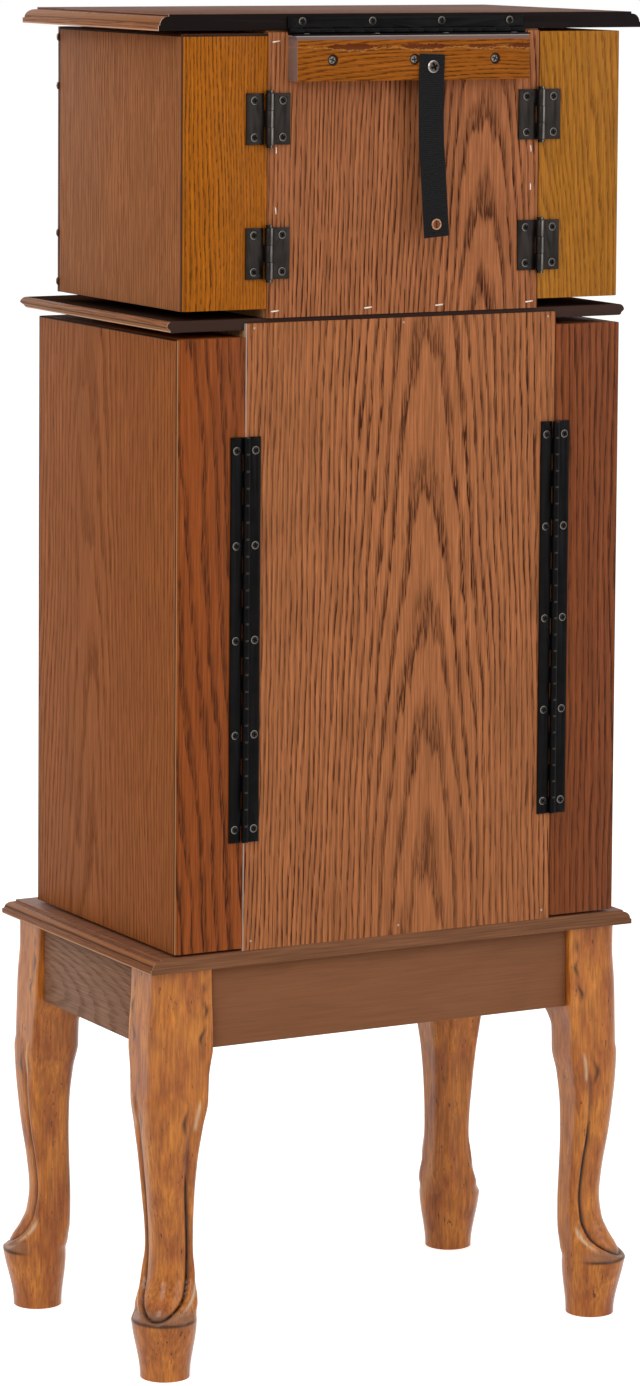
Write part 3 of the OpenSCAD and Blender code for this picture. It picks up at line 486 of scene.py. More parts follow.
long_apron_oak = oak("long_apron_oak", "85573A", "6A432C", along="X", across="Z", pith=(262, 90),
                     slope=0.1, ring=9, contrast=0.18, fibre_tone=0.1, seed=1)
short_apron_oak = oak("short_apron_oak", "8C6650", "5E3E2C", along="Y", across="Z", pith=(262, 30),
                      slope=0.16, ring=4.5, contrast=0.7, seed=2)
base_oak = oak("base_oak", "82533A", "4C2C1C", along="X", across="Y", pith=(0, 60), slope=0.05,
               ring=4, contrast=0.6, rough=0.42, gloss=0.12, seed=3)
dressed("long_aprons", "case", long_apron_oak, 0.6)
dressed("short_aprons", "case", short_apron_oak, 0.6)
base_rear_oak = oak("base_rear_oak", "7C5238", "5C3A26", along="X", across="Z", slope=0.02, ring=3,
                    contrast=0.25, seed=19)


def edged(node_name, body, material, light, dark, seed, painted_highlight, rear_colour, lines):
    """A board whose end mouldings are strips with grain along them, with a line of painted
    highlight
    where they meet the rear edge. lines are (from, to, colour) in mm above the board's underside:
    a painted highlight on the lower edge, painted shade in the quirk and a painted glint on the
    round, and on the lid a line of painted shade near the top."""
    low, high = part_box(node_name)
    board = dressed(node_name, body, material)
    bands = [("Z", low.z + a * mm, low.z + b * mm, code) for a, b, code in lines]
    # A pale line of painted highlight where the end mouldings meet the rear edge, then the rear
    # edge's dark stain.
    bands += [("Y", high.y - 1.2 * mm, high.y - 0.3 * mm, painted_highlight),
              ("Y", high.y - 0.3 * mm, high.y + mm, rear_colour)]
    strip = oak(node_name + "_edging", light, dark, along="Y", across="Z", pith=(0, 30),
                slope=0.03, ring=2.4, contrast=0.6, gloss=0.06, seed=seed, bands=bands)
    repaint(board, strip, lambda at, way: abs(way.x) > 0.4)
    return board


def repaint(piece, material, where):
    """Gives the faces that where(centre, normal) picks another material."""
    piece.data.materials.append(material)
    for face in piece.data.polygons:
        if where(face.center, face.normal):
            face.material_index = len(piece.data.materials) - 1


# Painted light on the base's end mouldings: a highlight on the lower edge, shade in the quirk, a
# glint on the round.
base = edged("base_board", "case", base_oak, "8A5636", "4C2A18", 15, "A87C60", "6A4632",
             [(0, 1.1, "B88A68"), (5.6, 6.4, "4A2C1C"), (7.4, 9.6, "9A6238")])
repaint(base, base_rear_oak, lambda at, way: way.y > 0.9)

# ---------------- cases
# Two open cases of plain stained boards with rails and runners for the drawers, a rounded waist
# board between them, and thin plywood backs faced with plain-sawn oak. The waist board's rear edge
# is stained nearly black, and the backs' sawn edges show a pale line.
EDGE_LINE = 0.7 * mm
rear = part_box("lower_back_panel")[1].y
waist_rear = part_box("waist_board")[1].y
lower_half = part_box("lower_back_panel")[1].x
upper_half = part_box("upper_back_panel")[1].x

case_wood = oak("case_wood", "A9794C", "7C5230", across="Y", pith=(0, 90), slope=0.02, ring=5,
                contrast=0.4, rough=0.6, seed=4)
waist_oak = oak("waist_oak", "7A4C34", "40241A", along="X", across="Y", pith=(0, 60), slope=0.05,
                ring=4, contrast=0.6, rough=0.42, seed=5,
                bands=[("Y", waist_rear - 0.3 * mm, waist_rear + mm, "3A2620")])
lower_back = oak("lower_back_veneer", "AE6C42", "3C1A0E", pith=(-21, 58), slope=0.036, ring=3.6,
                 contrast=1.05, seed=6, sway=(9, 2),
                 bands=[("X", lower_half - EDGE_LINE, lower_half + mm, "B4A092"),
                        ("X", -lower_half - mm, -lower_half + EDGE_LINE, "5A3018")])
upper_back = oak("upper_back_veneer", "AC6A42", "3A180C", pith=(-68, 17), slope=0.05,
                 contrast=1.15, seed=7, sway=(8, 2),
                 bands=[("X", upper_half - EDGE_LINE, upper_half + mm, "8A5230"),
                        ("X", -upper_half - mm, -upper_half + EDGE_LINE, "5A3018")])
face_oak = oak("face_oak", "8E5832", "4A2816", pith=(0, 90), slope=0.02, ring=4,
               contrast=0.6, rough=0.45, gloss=0.1, seed=21)
for board_name in ("case_sides_right", "case_sides_left", "drawer_rails"):
    board = dressed(board_name, "case", case_wood)
    repaint(board, face_oak, lambda at, way: way.y < -0.9)
# Painted light on the waist's end mouldings: a highlight on the lower edge, shade in the quirk, a
# glint on the round.
waist = edged("waist_board", "case", waist_oak, "94603E", "54301E", 16, "B48C74", "3A2620",
              [(0, 1.2, "D0A080"), (3.5, 4.3, "5A3A24"), (1.8, 3.3, "9A6A44")])
unlit_oak = oak("unlit_oak", "3C2A20", "1E130E", along="X", across="Y", ring=4, rough=0.8,
                gloss=0.0, seed=20)
repaint(waist, unlit_oak, lambda at, way: abs(way.z) > 0.95)
dressed("lower_back_panel", "case", lower_back, 0.3)
dressed("upper_back_panel", "case", upper_back, 0.3)

# ---------------- staples and brads
# Zinc-plated wire staples hold the upper back and small brads the lower one. A staple's crown is
# a flattened wire, proud of the veneer; a brad's round head is punched level with it.


def boxes(node_name):
    """(lowest corner, highest corner) of each solid of a CAD node."""
    mesh, found = solids(node_name)
    mesh.free()
    return [(low, high) for low, high, points in found]


def clouded(name, low, high, scale, detail, span, rough, **sockets):
    """A bare surface whose colour and gloss drift together with a noise of this scale per metre;
    span is the stretch of the noise over which the roughness runs."""
    made, add, place = finish(name, **sockets)
    cloud = add("TexNoise", place, Scale=scale, Detail=detail)
    return coated(made, add("ValToRGB", cloud, stops=[(0.3, low), (0.7, high)]),
                  Roughness=add("MapRange", cloud, *span, *rough))


def zinc_wire(name, low, high):
    """Zinc-plated wire: pale grey, softly shiny, with the fine streaks of drawing."""
    return clouded(name, low, high, 900.0, 2.0, (0.3, 0.7), (0.35, 0.55), Metallic=0.6)


def copies_tree(material):
    """The node tree that sets a pattern on every point and turns it the way the point faces."""
    tree = bpy.data.node_groups.new("copies", "GeometryNodeTree")
    for label, kind in (("Geometry", "Geometry"), ("Pattern", "Object"), ("Length", "Float"),
                        ("Width", "Float"), ("Height", "Float"), ("Loose Turn", "Float"),
                        ("Seed", "Int")):
        tree.interface.new_socket(label, in_out="INPUT", socket_type="NodeSocket" + kind)
    tree.interface.new_socket("Geometry", in_out="OUTPUT", socket_type="NodeSocketGeometry")
    given = node(tree, "NodeGroupInput", out=None).outputs
    shape = node(tree, "GeometryNodeObjectInfo", Object=given["Pattern"], out="Geometry")
    facing = node(tree, "GeometryNodeInputNamedAttribute", Name="facing", data_type="FLOAT_VECTOR")
    turn = node(tree, "GeometryNodeInputNamedAttribute", Name="turn", data_type="FLOAT")
    loose = node(tree, "FunctionNodeRandomValue", None, None, None, given["Loose Turn"],
                 Seed=given["Seed"], out=1, data_type="FLOAT")
    whole = node(tree, "Math.ADD", turn, loose)
    about = node(tree, "CombineXYZ", None, None, whole)
    spin = node(tree, "FunctionNodeEulerToRotation", about)
    aimed = node(tree, "FunctionNodeAlignRotationToVector", Vector=facing, axis="Z")
    aimed = node(tree, "FunctionNodeRotateRotation", aimed, spin, rotation_space="LOCAL")
    size = node(tree, "CombineXYZ", given["Length"], given["Width"], given["Height"])
    copies = node(tree, "GeometryNodeInstanceOnPoints", Points=given[0], Instance=shape,
                  Rotation=aimed, Scale=size)
    real = node(tree, "GeometryNodeRealizeInstances", copies)
    painted = node(tree, "GeometryNodeSetMaterial", real, Material=material)
    node(tree, "NodeGroupOutput", painted, out=None)
    return tree


def strewn(name, body, places, pattern, material, sizes, replaced=(), loose=0.0, seed=1,
           crease=40):
    """A unit-sized pattern, which faces +Z, at every (point, direction it faces, turn), as one
    plain mesh. sizes are the pattern's length, width and height in metres."""
    points = bpy.data.meshes.new(name + "_points")
    points.from_pydata([place for place, facing, turn in places], [], [])
    points.attributes.new("facing", "FLOAT_VECTOR", "POINT")
    points.attributes.new("turn", "FLOAT", "POINT")
    for i, (place, facing, turn) in enumerate(places):
        points.attributes["facing"].data[i].vector = facing
        points.attributes["turn"].data[i].value = turn
    holder = placed(name + "_holder", points)
    shape = placed(name + "_pattern", pattern)
    copier = holder.modifiers.new("copies", "NODES")
    copier.node_group = copies_tree(material)
    values = dict(zip(("Pattern", "Length", "Width", "Height", "Loose Turn", "Seed"),
                      (shape, *sizes, loose, seed)))
    for socket in copier.node_group.interface.items_tree:
        if socket.in_out == "INPUT" and socket.name in values:
            copier[socket.identifier] = values[socket.name]
    made = evaluated(holder, shape)
    for label in ("facing", "turn"):
        if label in made.attributes:
            made.attributes.remove(made.attributes[label])
    return add_piece(name, made, body, material, replaced, crease)


def lathe(name, profile, segments=32):
    """A turned shape from (radius, height) points, from the bottom up, about +Z."""
    mesh = bmesh.new()
    rings = []
    for radius, height in profile:
        rings.append([mesh.verts.new((radius * x, radius * y, height))
                      for x, y in circle(segments)[:segments if radius else 1]])
    banded(mesh, rings)
    return kept(mesh, name)


def swept(name, path, radii, sides=10):
    """A round wire through points in the XZ plane, closed at both ends."""
    mesh = bmesh.new()
    rings = []
    for i, (x, z) in enumerate(path):
        before, after = path[max(i - 1, 0)], path[min(i + 1, len(path) - 1)]
        along = Vector((after[0] - before[0], after[1] - before[1])).normalized()
        rings.append([mesh.verts.new((x - along.y * radii[i] * out, radii[i] * side,
                                      z + along.x * radii[i] * out))
                      for out, side in circle(sides)])
    banded(mesh, rings)
    bmesh.ops.recalc_face_normals(mesh, faces=mesh.faces)
    return kept(mesh, name)


wire = zinc_wire("zinc_wire", "C8BDB2", "F2E8DE")
BACKWARD = (0, 1, 0)
FLAT_CROWN, UPRIGHT_CROWN, LEAST_CROWN = 5.8 * mm, 4.4 * mm, 5 * mm
HEAD_RADIUS, HEAD_RISE = 1.0 * mm, 0.35 * mm
flat, upright, heads = [], [], []
for low, high in boxes("panel_staples"):
    middle = (low + high) / 2
    spot = (middle.x, rear, middle.z)
    if max(high.x - low.x, high.z - low.z) > LEAST_CROWN:
        if high.z - low.z > high.x - low.x:
            upright.append((spot, BACKWARD, pi / 2))
        else:
            flat.append((spot, BACKWARD, 0.0))
    else:
        heads.append((spot, BACKWARD, 0.0))
crown = swept("staple_crown", [(-0.5, -0.08), (-0.49, 0.0), (-0.45, 0.04), (0.45, 0.04),
                               (0.49, 0.0), (0.5, -0.08)], [0.105] * 6)
strewn("flat_staples", "case", flat, crown, wire, (FLAT_CROWN,) * 3,
       ["panel_staples"], loose=0.12, seed=3)
strewn("upright_staples", "case", upright, crown, wire, (UPRIGHT_CROWN,) * 3,
       loose=0.12, seed=4)
brad_head = lathe("brad_head", [(0, -0.5), (1, -0.5), (1, 0.5), (0.8, 1), (0.3, 0.8),
                                (0, 0.55)], 20)
strewn("brad_heads", "case", heads, brad_head, zinc_wire("dull_brad", "8C7364", "B59A88"),
       (HEAD_RADIUS, HEAD_RADIUS, HEAD_RISE))

# ---------------- hinge block
# A block of golden oak carries the lid's piano hinge. Its top edge is chamfered and painted pale
# grey, a torn strip of darker wood runs under it, and three screws sit in round counterbores,
# ringed with painted shade.
BLOCK_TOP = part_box("hinge_block")[1].z
BLOCK_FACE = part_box("hinge_block")[1].y
BLOCK_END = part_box("hinge_block")[1].x
CHAMFER_LOW = BLOCK_TOP - 3.4 * mm
TORN_MIDDLE = BLOCK_TOP - 8.4 * mm
BORE_RADIUS = 3.6 * mm
IN_BLOCK = rear + 5 * mm      # a screw that reaches farther back than this is in the block
BORES = [(low + high) / 2 for low, high in boxes("case_screws")
         if high.y > IN_BLOCK and high.z < CHAMFER_LOW]


def golden_block_oak():
    """Golden oak along X, with ragged patches of torn dark grain, a ring of painted shade round
    the bores' mouths, and a chamfer, crest and end painted pale grey."""
    made = oak("golden_block_oak", "A25A14", "421F06", along="X", across="Z", pith=(960, 10),
               slope=0.12, ring=2.8, pore=(0.6, 7), contrast=1.1, gloss=0.06, seed=8,
               bands=[("X", BLOCK_END - 0.3 * mm, BLOCK_END + mm, "84685C")])
    add = partial(node, made.node_tree)
    before = socket(made, "Base Color").links[0].from_socket
    place = add("TexCoord", out="Object")
    axes = add("SeparateXYZ", place, out=None).outputs
    long_place = add("VectorMath.MULTIPLY", place, (240, 110, 520))
    torn = add("TexNoise", long_place, Scale=1.0, Detail=5.0, Roughness=0.75)
    patchy = add("TexNoise", place, Scale=26.0, Detail=2.0)
    thick = add("MapRange", patchy, 0.38, 0.55, -0.3 * mm, 2.2 * mm)
    off = add("Math.MULTIPLY_ADD", torn, 8 * mm, axes["Z"])
    off = add("Math.SUBTRACT", off, TORN_MIDDLE + 4 * mm)
    beyond = add("Math.SUBTRACT", add("Math.ABSOLUTE", off), thick)
    strip = add("MapRange", beyond, 0.2 * mm, -0.2 * mm, 0.0, 0.92)
    below = add("MapRange", off, 0.2 * mm, -0.2 * mm)
    rim = add("Math.MULTIPLY", add("MapRange", beyond, 1.1 * mm, 0.2 * mm, 0.0, 0.6), below)
    level = add("CombineXYZ", axes["X"], BLOCK_FACE, axes["Z"])
    nearest = None
    for spot in BORES:
        gap = add("VectorMath.DISTANCE", level, (spot.x, BLOCK_FACE, spot.z), out="Value")
        nearest = gap if nearest is None else add("Math.MINIMUM", nearest, gap)
    # Painted shade: a dark ring round each bore's mouth, so that the bores look wider.
    bore_mouth_shade = add("MapRange", nearest, BORE_RADIUS + 1.0 * mm, BORE_RADIUS + 0.5 * mm, 0.0, 0.9)
    # The chamfer, the crest of the top edge and the block's end are painted pale grey.
    chamfer = add("MapRange", axes["Z"], CHAMFER_LOW, CHAMFER_LOW + 0.3 * mm)
    crest = add("MapRange", axes["Z"], BLOCK_TOP - 0.9 * mm, BLOCK_TOP - 0.6 * mm)
    return coated(made, before, (rim, "CC9050"), (strip, "5A240C"), (bore_mouth_shade, "2A180E"),
                  (chamfer, "76605A"), (crest, "B0A09C"))


block = dressed("hinge_block", "case", golden_block_oak(), 0.4)
# Painted shade: the walls of the counterbores get a dark oak.
shaded_bore_oak = oak("shaded_bore_oak", "4A3020", "24140C", along="X", across="Z", contrast=0.5, seed=18)
repaint(block, shaded_bore_oak, lambda at, way: at.y < BLOCK_FACE - 0.3 * mm and min(
    hypot(at.x - spot.x, at.z - spot.z) for spot in BORES) < BORE_RADIUS + 0.2 * mm)

# ---------------- hinges
# Butt hinges for the upper doors and piano hinges for the lower ones and the lid: pressed steel
# under a thin dark bronze lacquer, with rolled knuckles. The screws' heads are painted darker in
# their cross recesses as painted shade and lighter across their faces and rims as painted
# highlights, and the butt hinges' barrels and the knuckles' ends carry painted highlights.


def bronzed_steel(name, low, high, metallic, recess_to_rim=None, knuckles=None):
    """Pressed steel with a dark bronze lacquer: near black, half gloss, a little uneven.
    recess_to_rim are a screw's colours from its recess through its face to its rim, painted shade
    and painted highlight across the head; knuckles are the height of a barrel's lower end and of
    one knuckle, whose ends get a painted highlight at the crest."""
    made, add, place = finish(name, Metallic=metallic, Specular_IOR_Level=0.08)
    cloud = add("TexNoise", place, Scale=90.0, Detail=4.0)
    tone = add("ValToRGB", cloud, stops=[(0.35, low), (0.75, high)])
    coats = []
    # Painted light on screw heads: shade in the recess, a highlight on the face and rim.
    if recess_to_rim:
        painted_screw_light = add("Attribute", attribute_name="painted_screw_light", out="Fac")
        painted_light = add("ValToRGB", painted_screw_light, stops=[(0.0, recess_to_rim[0]), (1.0, recess_to_rim[2]), (0.5, recess_to_rim[1])])
        coats.append((0.85, painted_light))
    # Painted highlight: short light ticks at the knuckles' ends on the barrel's crest.
    if knuckles:
        axes = add("SeparateXYZ", place, out=None).outputs
        up = add("Math.DIVIDE", add("Math.SUBTRACT", axes["Z"], knuckles[0]), knuckles[1])
        end = add("Math.MULTIPLY_ADD", add("Math.PINGPONG", up, 1.0), 2.0, -1.0)
        crest = add("MapRange", axes["Y"], rear + 4.8 * mm, rear + 5.0 * mm)
        end = add("Math.MULTIPLY", add("MapRange", add("Math.ABSOLUTE", end), 0.88, 0.94), crest)
        coats.append((end, "45423F"))
    rough = add("MapRange", cloud, 0.3, 0.7, 0.3, 0.42)
    pits = add("TexNoise", place, Scale=1500.0, Detail=1.0)
    bump = add("Bump", Strength=0.2, Distance=0.0001, Height=pits)
    return coated(made, tone, *coats, Roughness=rough, Normal=bump)


def cross_screw():
    """A domed screw head of unit radius and height, its top at z = 0, with a cross recess. The
    attribute painted_screw_light is 0 in the recess, for painted shade, 0.5 on the face and 1 at
    the rim, for a painted highlight."""
    mesh = bmesh.new()
    painted_screw_light = mesh.verts.layers.float.new("painted_screw_light")
    steps, segments, rings = 11, 40, []
    for i in range(-1, steps):
        share = 1 - max(i, 0) / steps
        ring = []
        for x, y in circle(segments, 0.5):
            x, y = share * x, share * y
            arm = 1 - smooth(0.09, 0.17, min(abs(x), abs(y)))
            sunk = arm * (1 - smooth(0.5, 0.66, max(abs(x), abs(y))))
            vert = mesh.verts.new((x, y, -1.0 if i < 0 else -0.65 * share ** 2.4 - 0.75 * sunk))
            vert[painted_screw_light] = max(0.0, 0.5 + 0.5 * smooth(0.78, 0.95, share) - 0.5 * sunk)
            ring.append(vert)
        rings.append(ring)
    centre = mesh.verts.new((0, 0, -0.75))
    banded(mesh, rings + [[centre]])
    return kept(mesh, "cross_screw")


UPWARD = (0, 0, 1)
LEAST_LEAF, KNUCKLES = 20 * mm, 24
BARREL_CREST, LID_LEAF = rear + 6 * mm, BLOCK_TOP - 4 * mm


def screws_in(node_name, head):
    """(top of the head, direction it faces, turn) of a node's screws with this radius of head."""
    places = []
    for low, high in boxes(node_name):
        size, middle = high - low, (low + high) / 2
        if abs(size.x - 2 * head[0]) > 0.3 * mm:
            continue
        if size.y > size.z:
            places.append(((middle.x, high.y, middle.z), BACKWARD, 0.0))
        else:
            places.append(((middle.x, middle.y, high.z), UPWARD, 0.0))
    return places


def screws(name, body, places, material, head, seed, stands_for=(), loose=1.5):
    """Cross-headed screws of (radius, height) head at places, each turned a little differently."""
    return strewn(name, body, places, cross_screw(), material,
                  (head[0], head[0], head[1]), stands_for, loose=loose, seed=seed)


def is_crest(at, way):
    """The line along a butt hinge's barrel that stands out farthest, where a painted highlight
    goes.
    """
    return way.y > 0.97 and at.y > BARREL_CREST and at.z < LID_LEAF


def is_leaf(size):
    """Whether a solid of a hinge is its leaf and barrel, and not a screw."""
    return max(size.x, size.z) > LEAST_LEAF


steel = bronzed_steel("bronzed_steel", "24211F", "302B28", 0.8)
# Painted highlight: a bright steel for the line along each butt hinge's barrel.
barrel_highlight_steel = bronzed_steel("painted_barrel_highlight", "56524E", "7A756F", 0.9)
barrel_low, barrel_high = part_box("lower_door_right_hinge_leaf")
black_steel = bronzed_steel("black_steel", "0A0909", "121010", 0.5, knuckles=(
    barrel_low.z, (barrel_high.z - barrel_low.z) / KNUCKLES))
# Screw heads on the leaves: dark recesses as painted shade, light rims as painted highlights.
screw_steel = bronzed_steel("shaded_screw_steel", "2A2826", "4A4642", 0.8,
                            ("060505", "2E2C2A", "8E8983"))
# Screw heads in the bores: recesses and rims painted dark as painted shade, faces light as a
# painted highlight.
bore_steel = bronzed_steel("bare_screw_steel", "5A5652", "8A857F", 0.7,
                           ("0E0C0B", "8C8580", "2A2624"))
UPPER_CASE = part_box("waist_board")[1].z
# Radius and height of the screws' heads: on leaves, in the block's bores, and under the lid
SCREW, BORE_SCREW, LEAF_SCREW = (3.0 * mm, 1.3 * mm), (3.45 * mm, 1.8 * mm), (2.4 * mm, 0.6 * mm)

leaves = dressed("fixed_hinge_leaves", "case", steel, 0.15, keep=is_leaf)
repaint(leaves, black_steel, lambda at, way: at.z < UPPER_CASE or at.z > LID_LEAF)
# The barrels' crests get the painted highlight.
repaint(leaves, barrel_highlight_steel, is_crest)
case_screws = screws_in("case_screws", SCREW)
in_bores = [spot for spot in case_screws if spot[0][1] > IN_BLOCK]
on_leaves = [spot for spot in case_screws if spot not in in_bores]
screws("hinge_screws", "case", on_leaves, screw_steel, SCREW, 11, ["case_screws"])
screws("block_screws", "case", [((x, y + BORE_SCREW[1], z), facing, turn)
                                for (x, y, z), facing, turn in in_bores],
       bore_steel, BORE_SCREW, 12)
screws("block_leaf_screws", "case", screws_in("case_screws", LEAF_SCREW), screw_steel, LEAF_SCREW,
       13)

# ---------------- tip strap
# A length of black ribbed webbing ties the armoire to the wall. It hangs flat from a pan-head
# screw in the block, bows a little to one side, and ends square below a copper eyelet.
STRAP_WIDTH, STRAP_LENGTH, STRAP_THICKNESS = 21.5 * mm, 136 * mm, 1.2 * mm
RIB, RIB_DEPTH, STRAP_BOW = 1.36 * mm, 0.12 * mm, 1.6 * mm
STRAP_ROWS, STRAP_COLUMNS = 400, 48
STRAP_HOLE = 3.9 * mm
strap_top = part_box("tip_strap")[1].z
screw_low, screw_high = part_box("strap_screw")
eyelet_low, eyelet_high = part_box("strap_eyelet")
eyelet = (eyelet_low + eyelet_high) / 2


def strap_centre(t):
    """The middle of the strap at a share of its length: x and z."""
    top = (screw_low.x + screw_high.x) / 2
    drop = (strap_top - eyelet.z) / STRAP_LENGTH
    return Vector((top + (eyelet.x - top) * (t / drop) ** 2
                   + STRAP_BOW * sin(pi * min(t / drop, 1)) * min(1, 2 * (1 - t / drop)),
                   strap_top - STRAP_LENGTH * t))


def strap_mesh():
    """One side of the strap as a grid with ribs and a hole, thickened towards the block."""
    mesh = bmesh.new()
    uv = mesh.loops.layers.uv.new("cloth")
    rows = []
    for i in range(STRAP_ROWS + 1):
        t = i / STRAP_ROWS
        here = strap_centre(t)
        along = (strap_centre(min(t + 0.01, 1)) - strap_centre(max(t - 0.01, 0))).normalized()
        across = Vector((-along.y, along.x))
        phase = tau * t * STRAP_LENGTH / RIB
        rib = cos(phase)
        half = STRAP_WIDTH / 2 - 0.18 * mm * (1 - rib)
        lift = STRAP_THICKNESS + 0.25 * mm + 0.6 * mm * sin(pi * t) ** 2
        row = []
        for j in range(STRAP_COLUMNS + 1):
            off = 2 * j / STRAP_COLUMNS - 1
            spot = here + across * off * half
            thin = 1 - smooth(0.86, 1.0, abs(off))
            row.append(mesh.verts.new((spot.x, BLOCK_FACE + lift - RIB_DEPTH * (1 - rib) * thin
                                       - 0.2 * mm * (1 - thin), spot.y)))
        rows.append(row)
    for i, (above, below) in enumerate(zip(rows, rows[1:])):
        for j in range(STRAP_COLUMNS):
            corners = (above[j], below[j], below[j + 1], above[j + 1])
            middle = sum((v.co for v in corners), Vector()) / 4
            if hypot(middle.x - eyelet.x, middle.z - eyelet.z) < STRAP_HOLE:
                continue
            face = mesh.faces.new(corners)
            for loop, (row, column) in zip(face.loops, ((i, j), (i + 1, j), (i + 1, j + 1),
                                                        (i, j + 1))):
                loop[uv].uv = (column / STRAP_COLUMNS * STRAP_WIDTH,
                               row / STRAP_ROWS * STRAP_LENGTH)
    mesh.normal_update()
    if sum(face.normal.y for face in mesh.faces) < 0:
        bmesh.ops.reverse_faces(mesh, faces=mesh.faces)
    bmesh.ops.delete(mesh, geom=[v for v in mesh.verts if not v.link_faces], context="VERTS")
    blank = placed("blank", kept(mesh, "tip_strap"))
    wall = blank.modifiers.new("thickness", "SOLIDIFY")
    wall.thickness, wall.offset = STRAP_THICKNESS, -1
    return evaluated(blank)


def polyester_webbing():
    """Black polyester grosgrain: fine yarns across each rib, dull, with a faint sheen. The yarns
    are drawn at 0.5 mm, coarser than real, so that they show."""
    made, add, place = finish("polyester_webbing", Roughness=0.8, Sheen_Weight=0.1,
                               Sheen_Roughness=0.4, Specular_IOR_Level=0.1)
    cloth = place.node.outputs["UV"]
    axes = add("SeparateXYZ", cloth, out=None).outputs
    yarn = add("Math.SINE", add("Math.MULTIPLY", axes[0], tau / (0.5 * mm)))
    rib = add("Math.COSINE", add("Math.MULTIPLY", axes[1], tau / RIB))
    fuzz_at = add("VectorMath.MULTIPLY", cloth, (900, 500, 1))
    fuzz = add("TexNoise", fuzz_at, Scale=1.0, Detail=3.0)
    light = add("Math.MULTIPLY_ADD", rib, 0.22, fuzz)
    tone = add("ValToRGB", light, stops=[(0.25, "0C0B0C"), (0.8, "242325")])
    woven = add("Math.MULTIPLY_ADD", yarn, 0.3, fuzz)
    bump = add("Bump", Strength=0.6, Distance=0.0002, Height=woven)
    return coated(made, tone, Normal=bump)


# Copper-plated brass: warm, half polished, darker where it is handled least.
copper_plate = clouded("copper_plate", "7E5844", "B88E70", 600.0, 3.0, (0.3, 0.7), (0.25, 0.45),
                       Metallic=0.9)
strap = add_piece("tip_strap_webbing", strap_mesh(), "case", polyester_webbing(),
                  ["tip_strap"])
# The pan head's recess is painted dark as painted shade and its rim light as a painted highlight.
pan_steel = bronzed_steel("pan_screw_steel", "5A5652", "8E8A84", 0.9,
                          ("080707", "4E4643", "B4ABA4"))
PAN_SCREW = 4.7 * mm, 3.0 * mm
screws("strap_pan_screw", "case", [(((screw_low.x + screw_high.x) / 2, screw_high.y,
                                     (screw_low.z + screw_high.z) / 2), BACKWARD, 0.4)],
       pan_steel, PAN_SCREW, 1, ["strap_screw"], loose=0.0)
EYELET_FLANGE, EYELET_HOLE = 4.6 * mm, 2.75 * mm
EYELET_STEPS, EYELET_SIDES = 48, 20
depth = eyelet_high.y - eyelet_low.y
mesh = bmesh.new()
loops = []
middle, half = (EYELET_FLANGE + EYELET_HOLE) / 2, (EYELET_FLANGE - EYELET_HOLE) / 2
for x, z in circle(EYELET_STEPS):
    section = []
    for out, rise in circle(EYELET_SIDES):
        pinch = 1 - 0.45 * max(0.0, out) ** 0.5 * (1 - abs(rise))
        radius = middle + half * out * pinch
        proud = depth / 2 * copysign(abs(rise) ** 0.7, rise)
        section.append(mesh.verts.new((eyelet.x + radius * x, eyelet.y + proud,
                                       eyelet.z + radius * z)))
    loops.append(section)
banded(mesh, loops + loops[:1], capped=False)
bmesh.ops.recalc_face_normals(mesh, faces=mesh.faces)
eyelet_ring = add_piece("strap_eyelet_ring", kept(mesh, "strap_eyelet"), "case", copper_plate,
                        ["strap_eyelet"])

# ---------------- tray and ring rolls
# Under the lid: a tray lined with flock, a divided half and a half filled with six padded rolls
# that grip rings between them. The rolls are foam in a velvet sleeve.


def flock(name, light, dark, nap):
    """Flock or velvet: short upright fibres that light up at a grazing angle. nap is the size of
    the brushed patches in mm."""
    made, add, place = finish(name, Roughness=0.95, Sheen_Weight=0.6, Sheen_Roughness=0.35,
                               Specular_IOR_Level=0.2)
    brushed = add("TexNoise", place, Scale=1000.0 / nap, Detail=3.0)
    fibre = add("TexNoise", place, Scale=2200.0, Detail=1.0)
    both = add("Math.MULTIPLY_ADD", fibre, 0.5, brushed)
    tone = add("ValToRGB", both, stops=[(0.55, dark), (0.95, light)])
    bump = add("Bump", Strength=0.5, Distance=0.0003, Height=fibre)
    return coated(made, tone, Normal=bump)


flock_lining = flock("flock_lining", "C9AE84", "A48A62", 9)
velvet = flock("velvet", "D3B98F", "AE9268", 5)
TRAY_WALL = 6 * mm
tray_low, tray_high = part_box("lid_tray")
tray = dressed("lid_tray", "case", case_wood)
repaint(tray, flock_lining, lambda at, way: at.y > tray_low.y + TRAY_WALL
        and at.z > tray_low.z + TRAY_WALL and abs(at.x) < tray_high.x - 0.2 * mm)

ROLL_SIDES, ROLL_STEPS, ROLL_ROUND, ROLL_SLACK = 28, 44, 3 * mm, 0.2 * mm
padding = bmesh.new()
for number, (low, high) in enumerate(boxes("ring_rolls")):
    size, middle = high - low, (low + high) / 2
    half, flat, top = 0.48 * size.y, low.z + 0.35 * mm, high.z - 0.3 * mm
    rings = []
    for i in range(ROLL_STEPS + 1):
        x = low.x + ROLL_SLACK + (size.x - 2 * ROLL_SLACK) * i / ROLL_STEPS
        end = min(x - low.x, high.x - x)
        full = sqrt(1 - (1 - min(end / ROLL_ROUND, 1)) ** 2) * 0.35 + 0.65
        swell = 1 + 0.012 * sin(0.9 * i + 2.1 * number)
        ring = []
        for out, rise in circle(ROLL_SIDES):
            up = middle.z + (top - flat) / 2 * rise * full * swell
            ring.append(padding.verts.new((x, middle.y + half * out * full * swell,
                                           max(up, flat))))
        rings.append(ring)
    ends = [[padding.verts.new((x, middle.y, middle.z))]
            for x in (low.x + ROLL_SLACK, high.x - ROLL_SLACK)]
    banded(padding, [ends[0], *rings, ends[1]])
bmesh.ops.recalc_face_normals(padding, faces=padding.faces)
rolls = add_piece("ring_rolls_velvet", kept(padding, "ring_rolls"), "case", velvet,
                  ["ring_rolls"], crease=70)

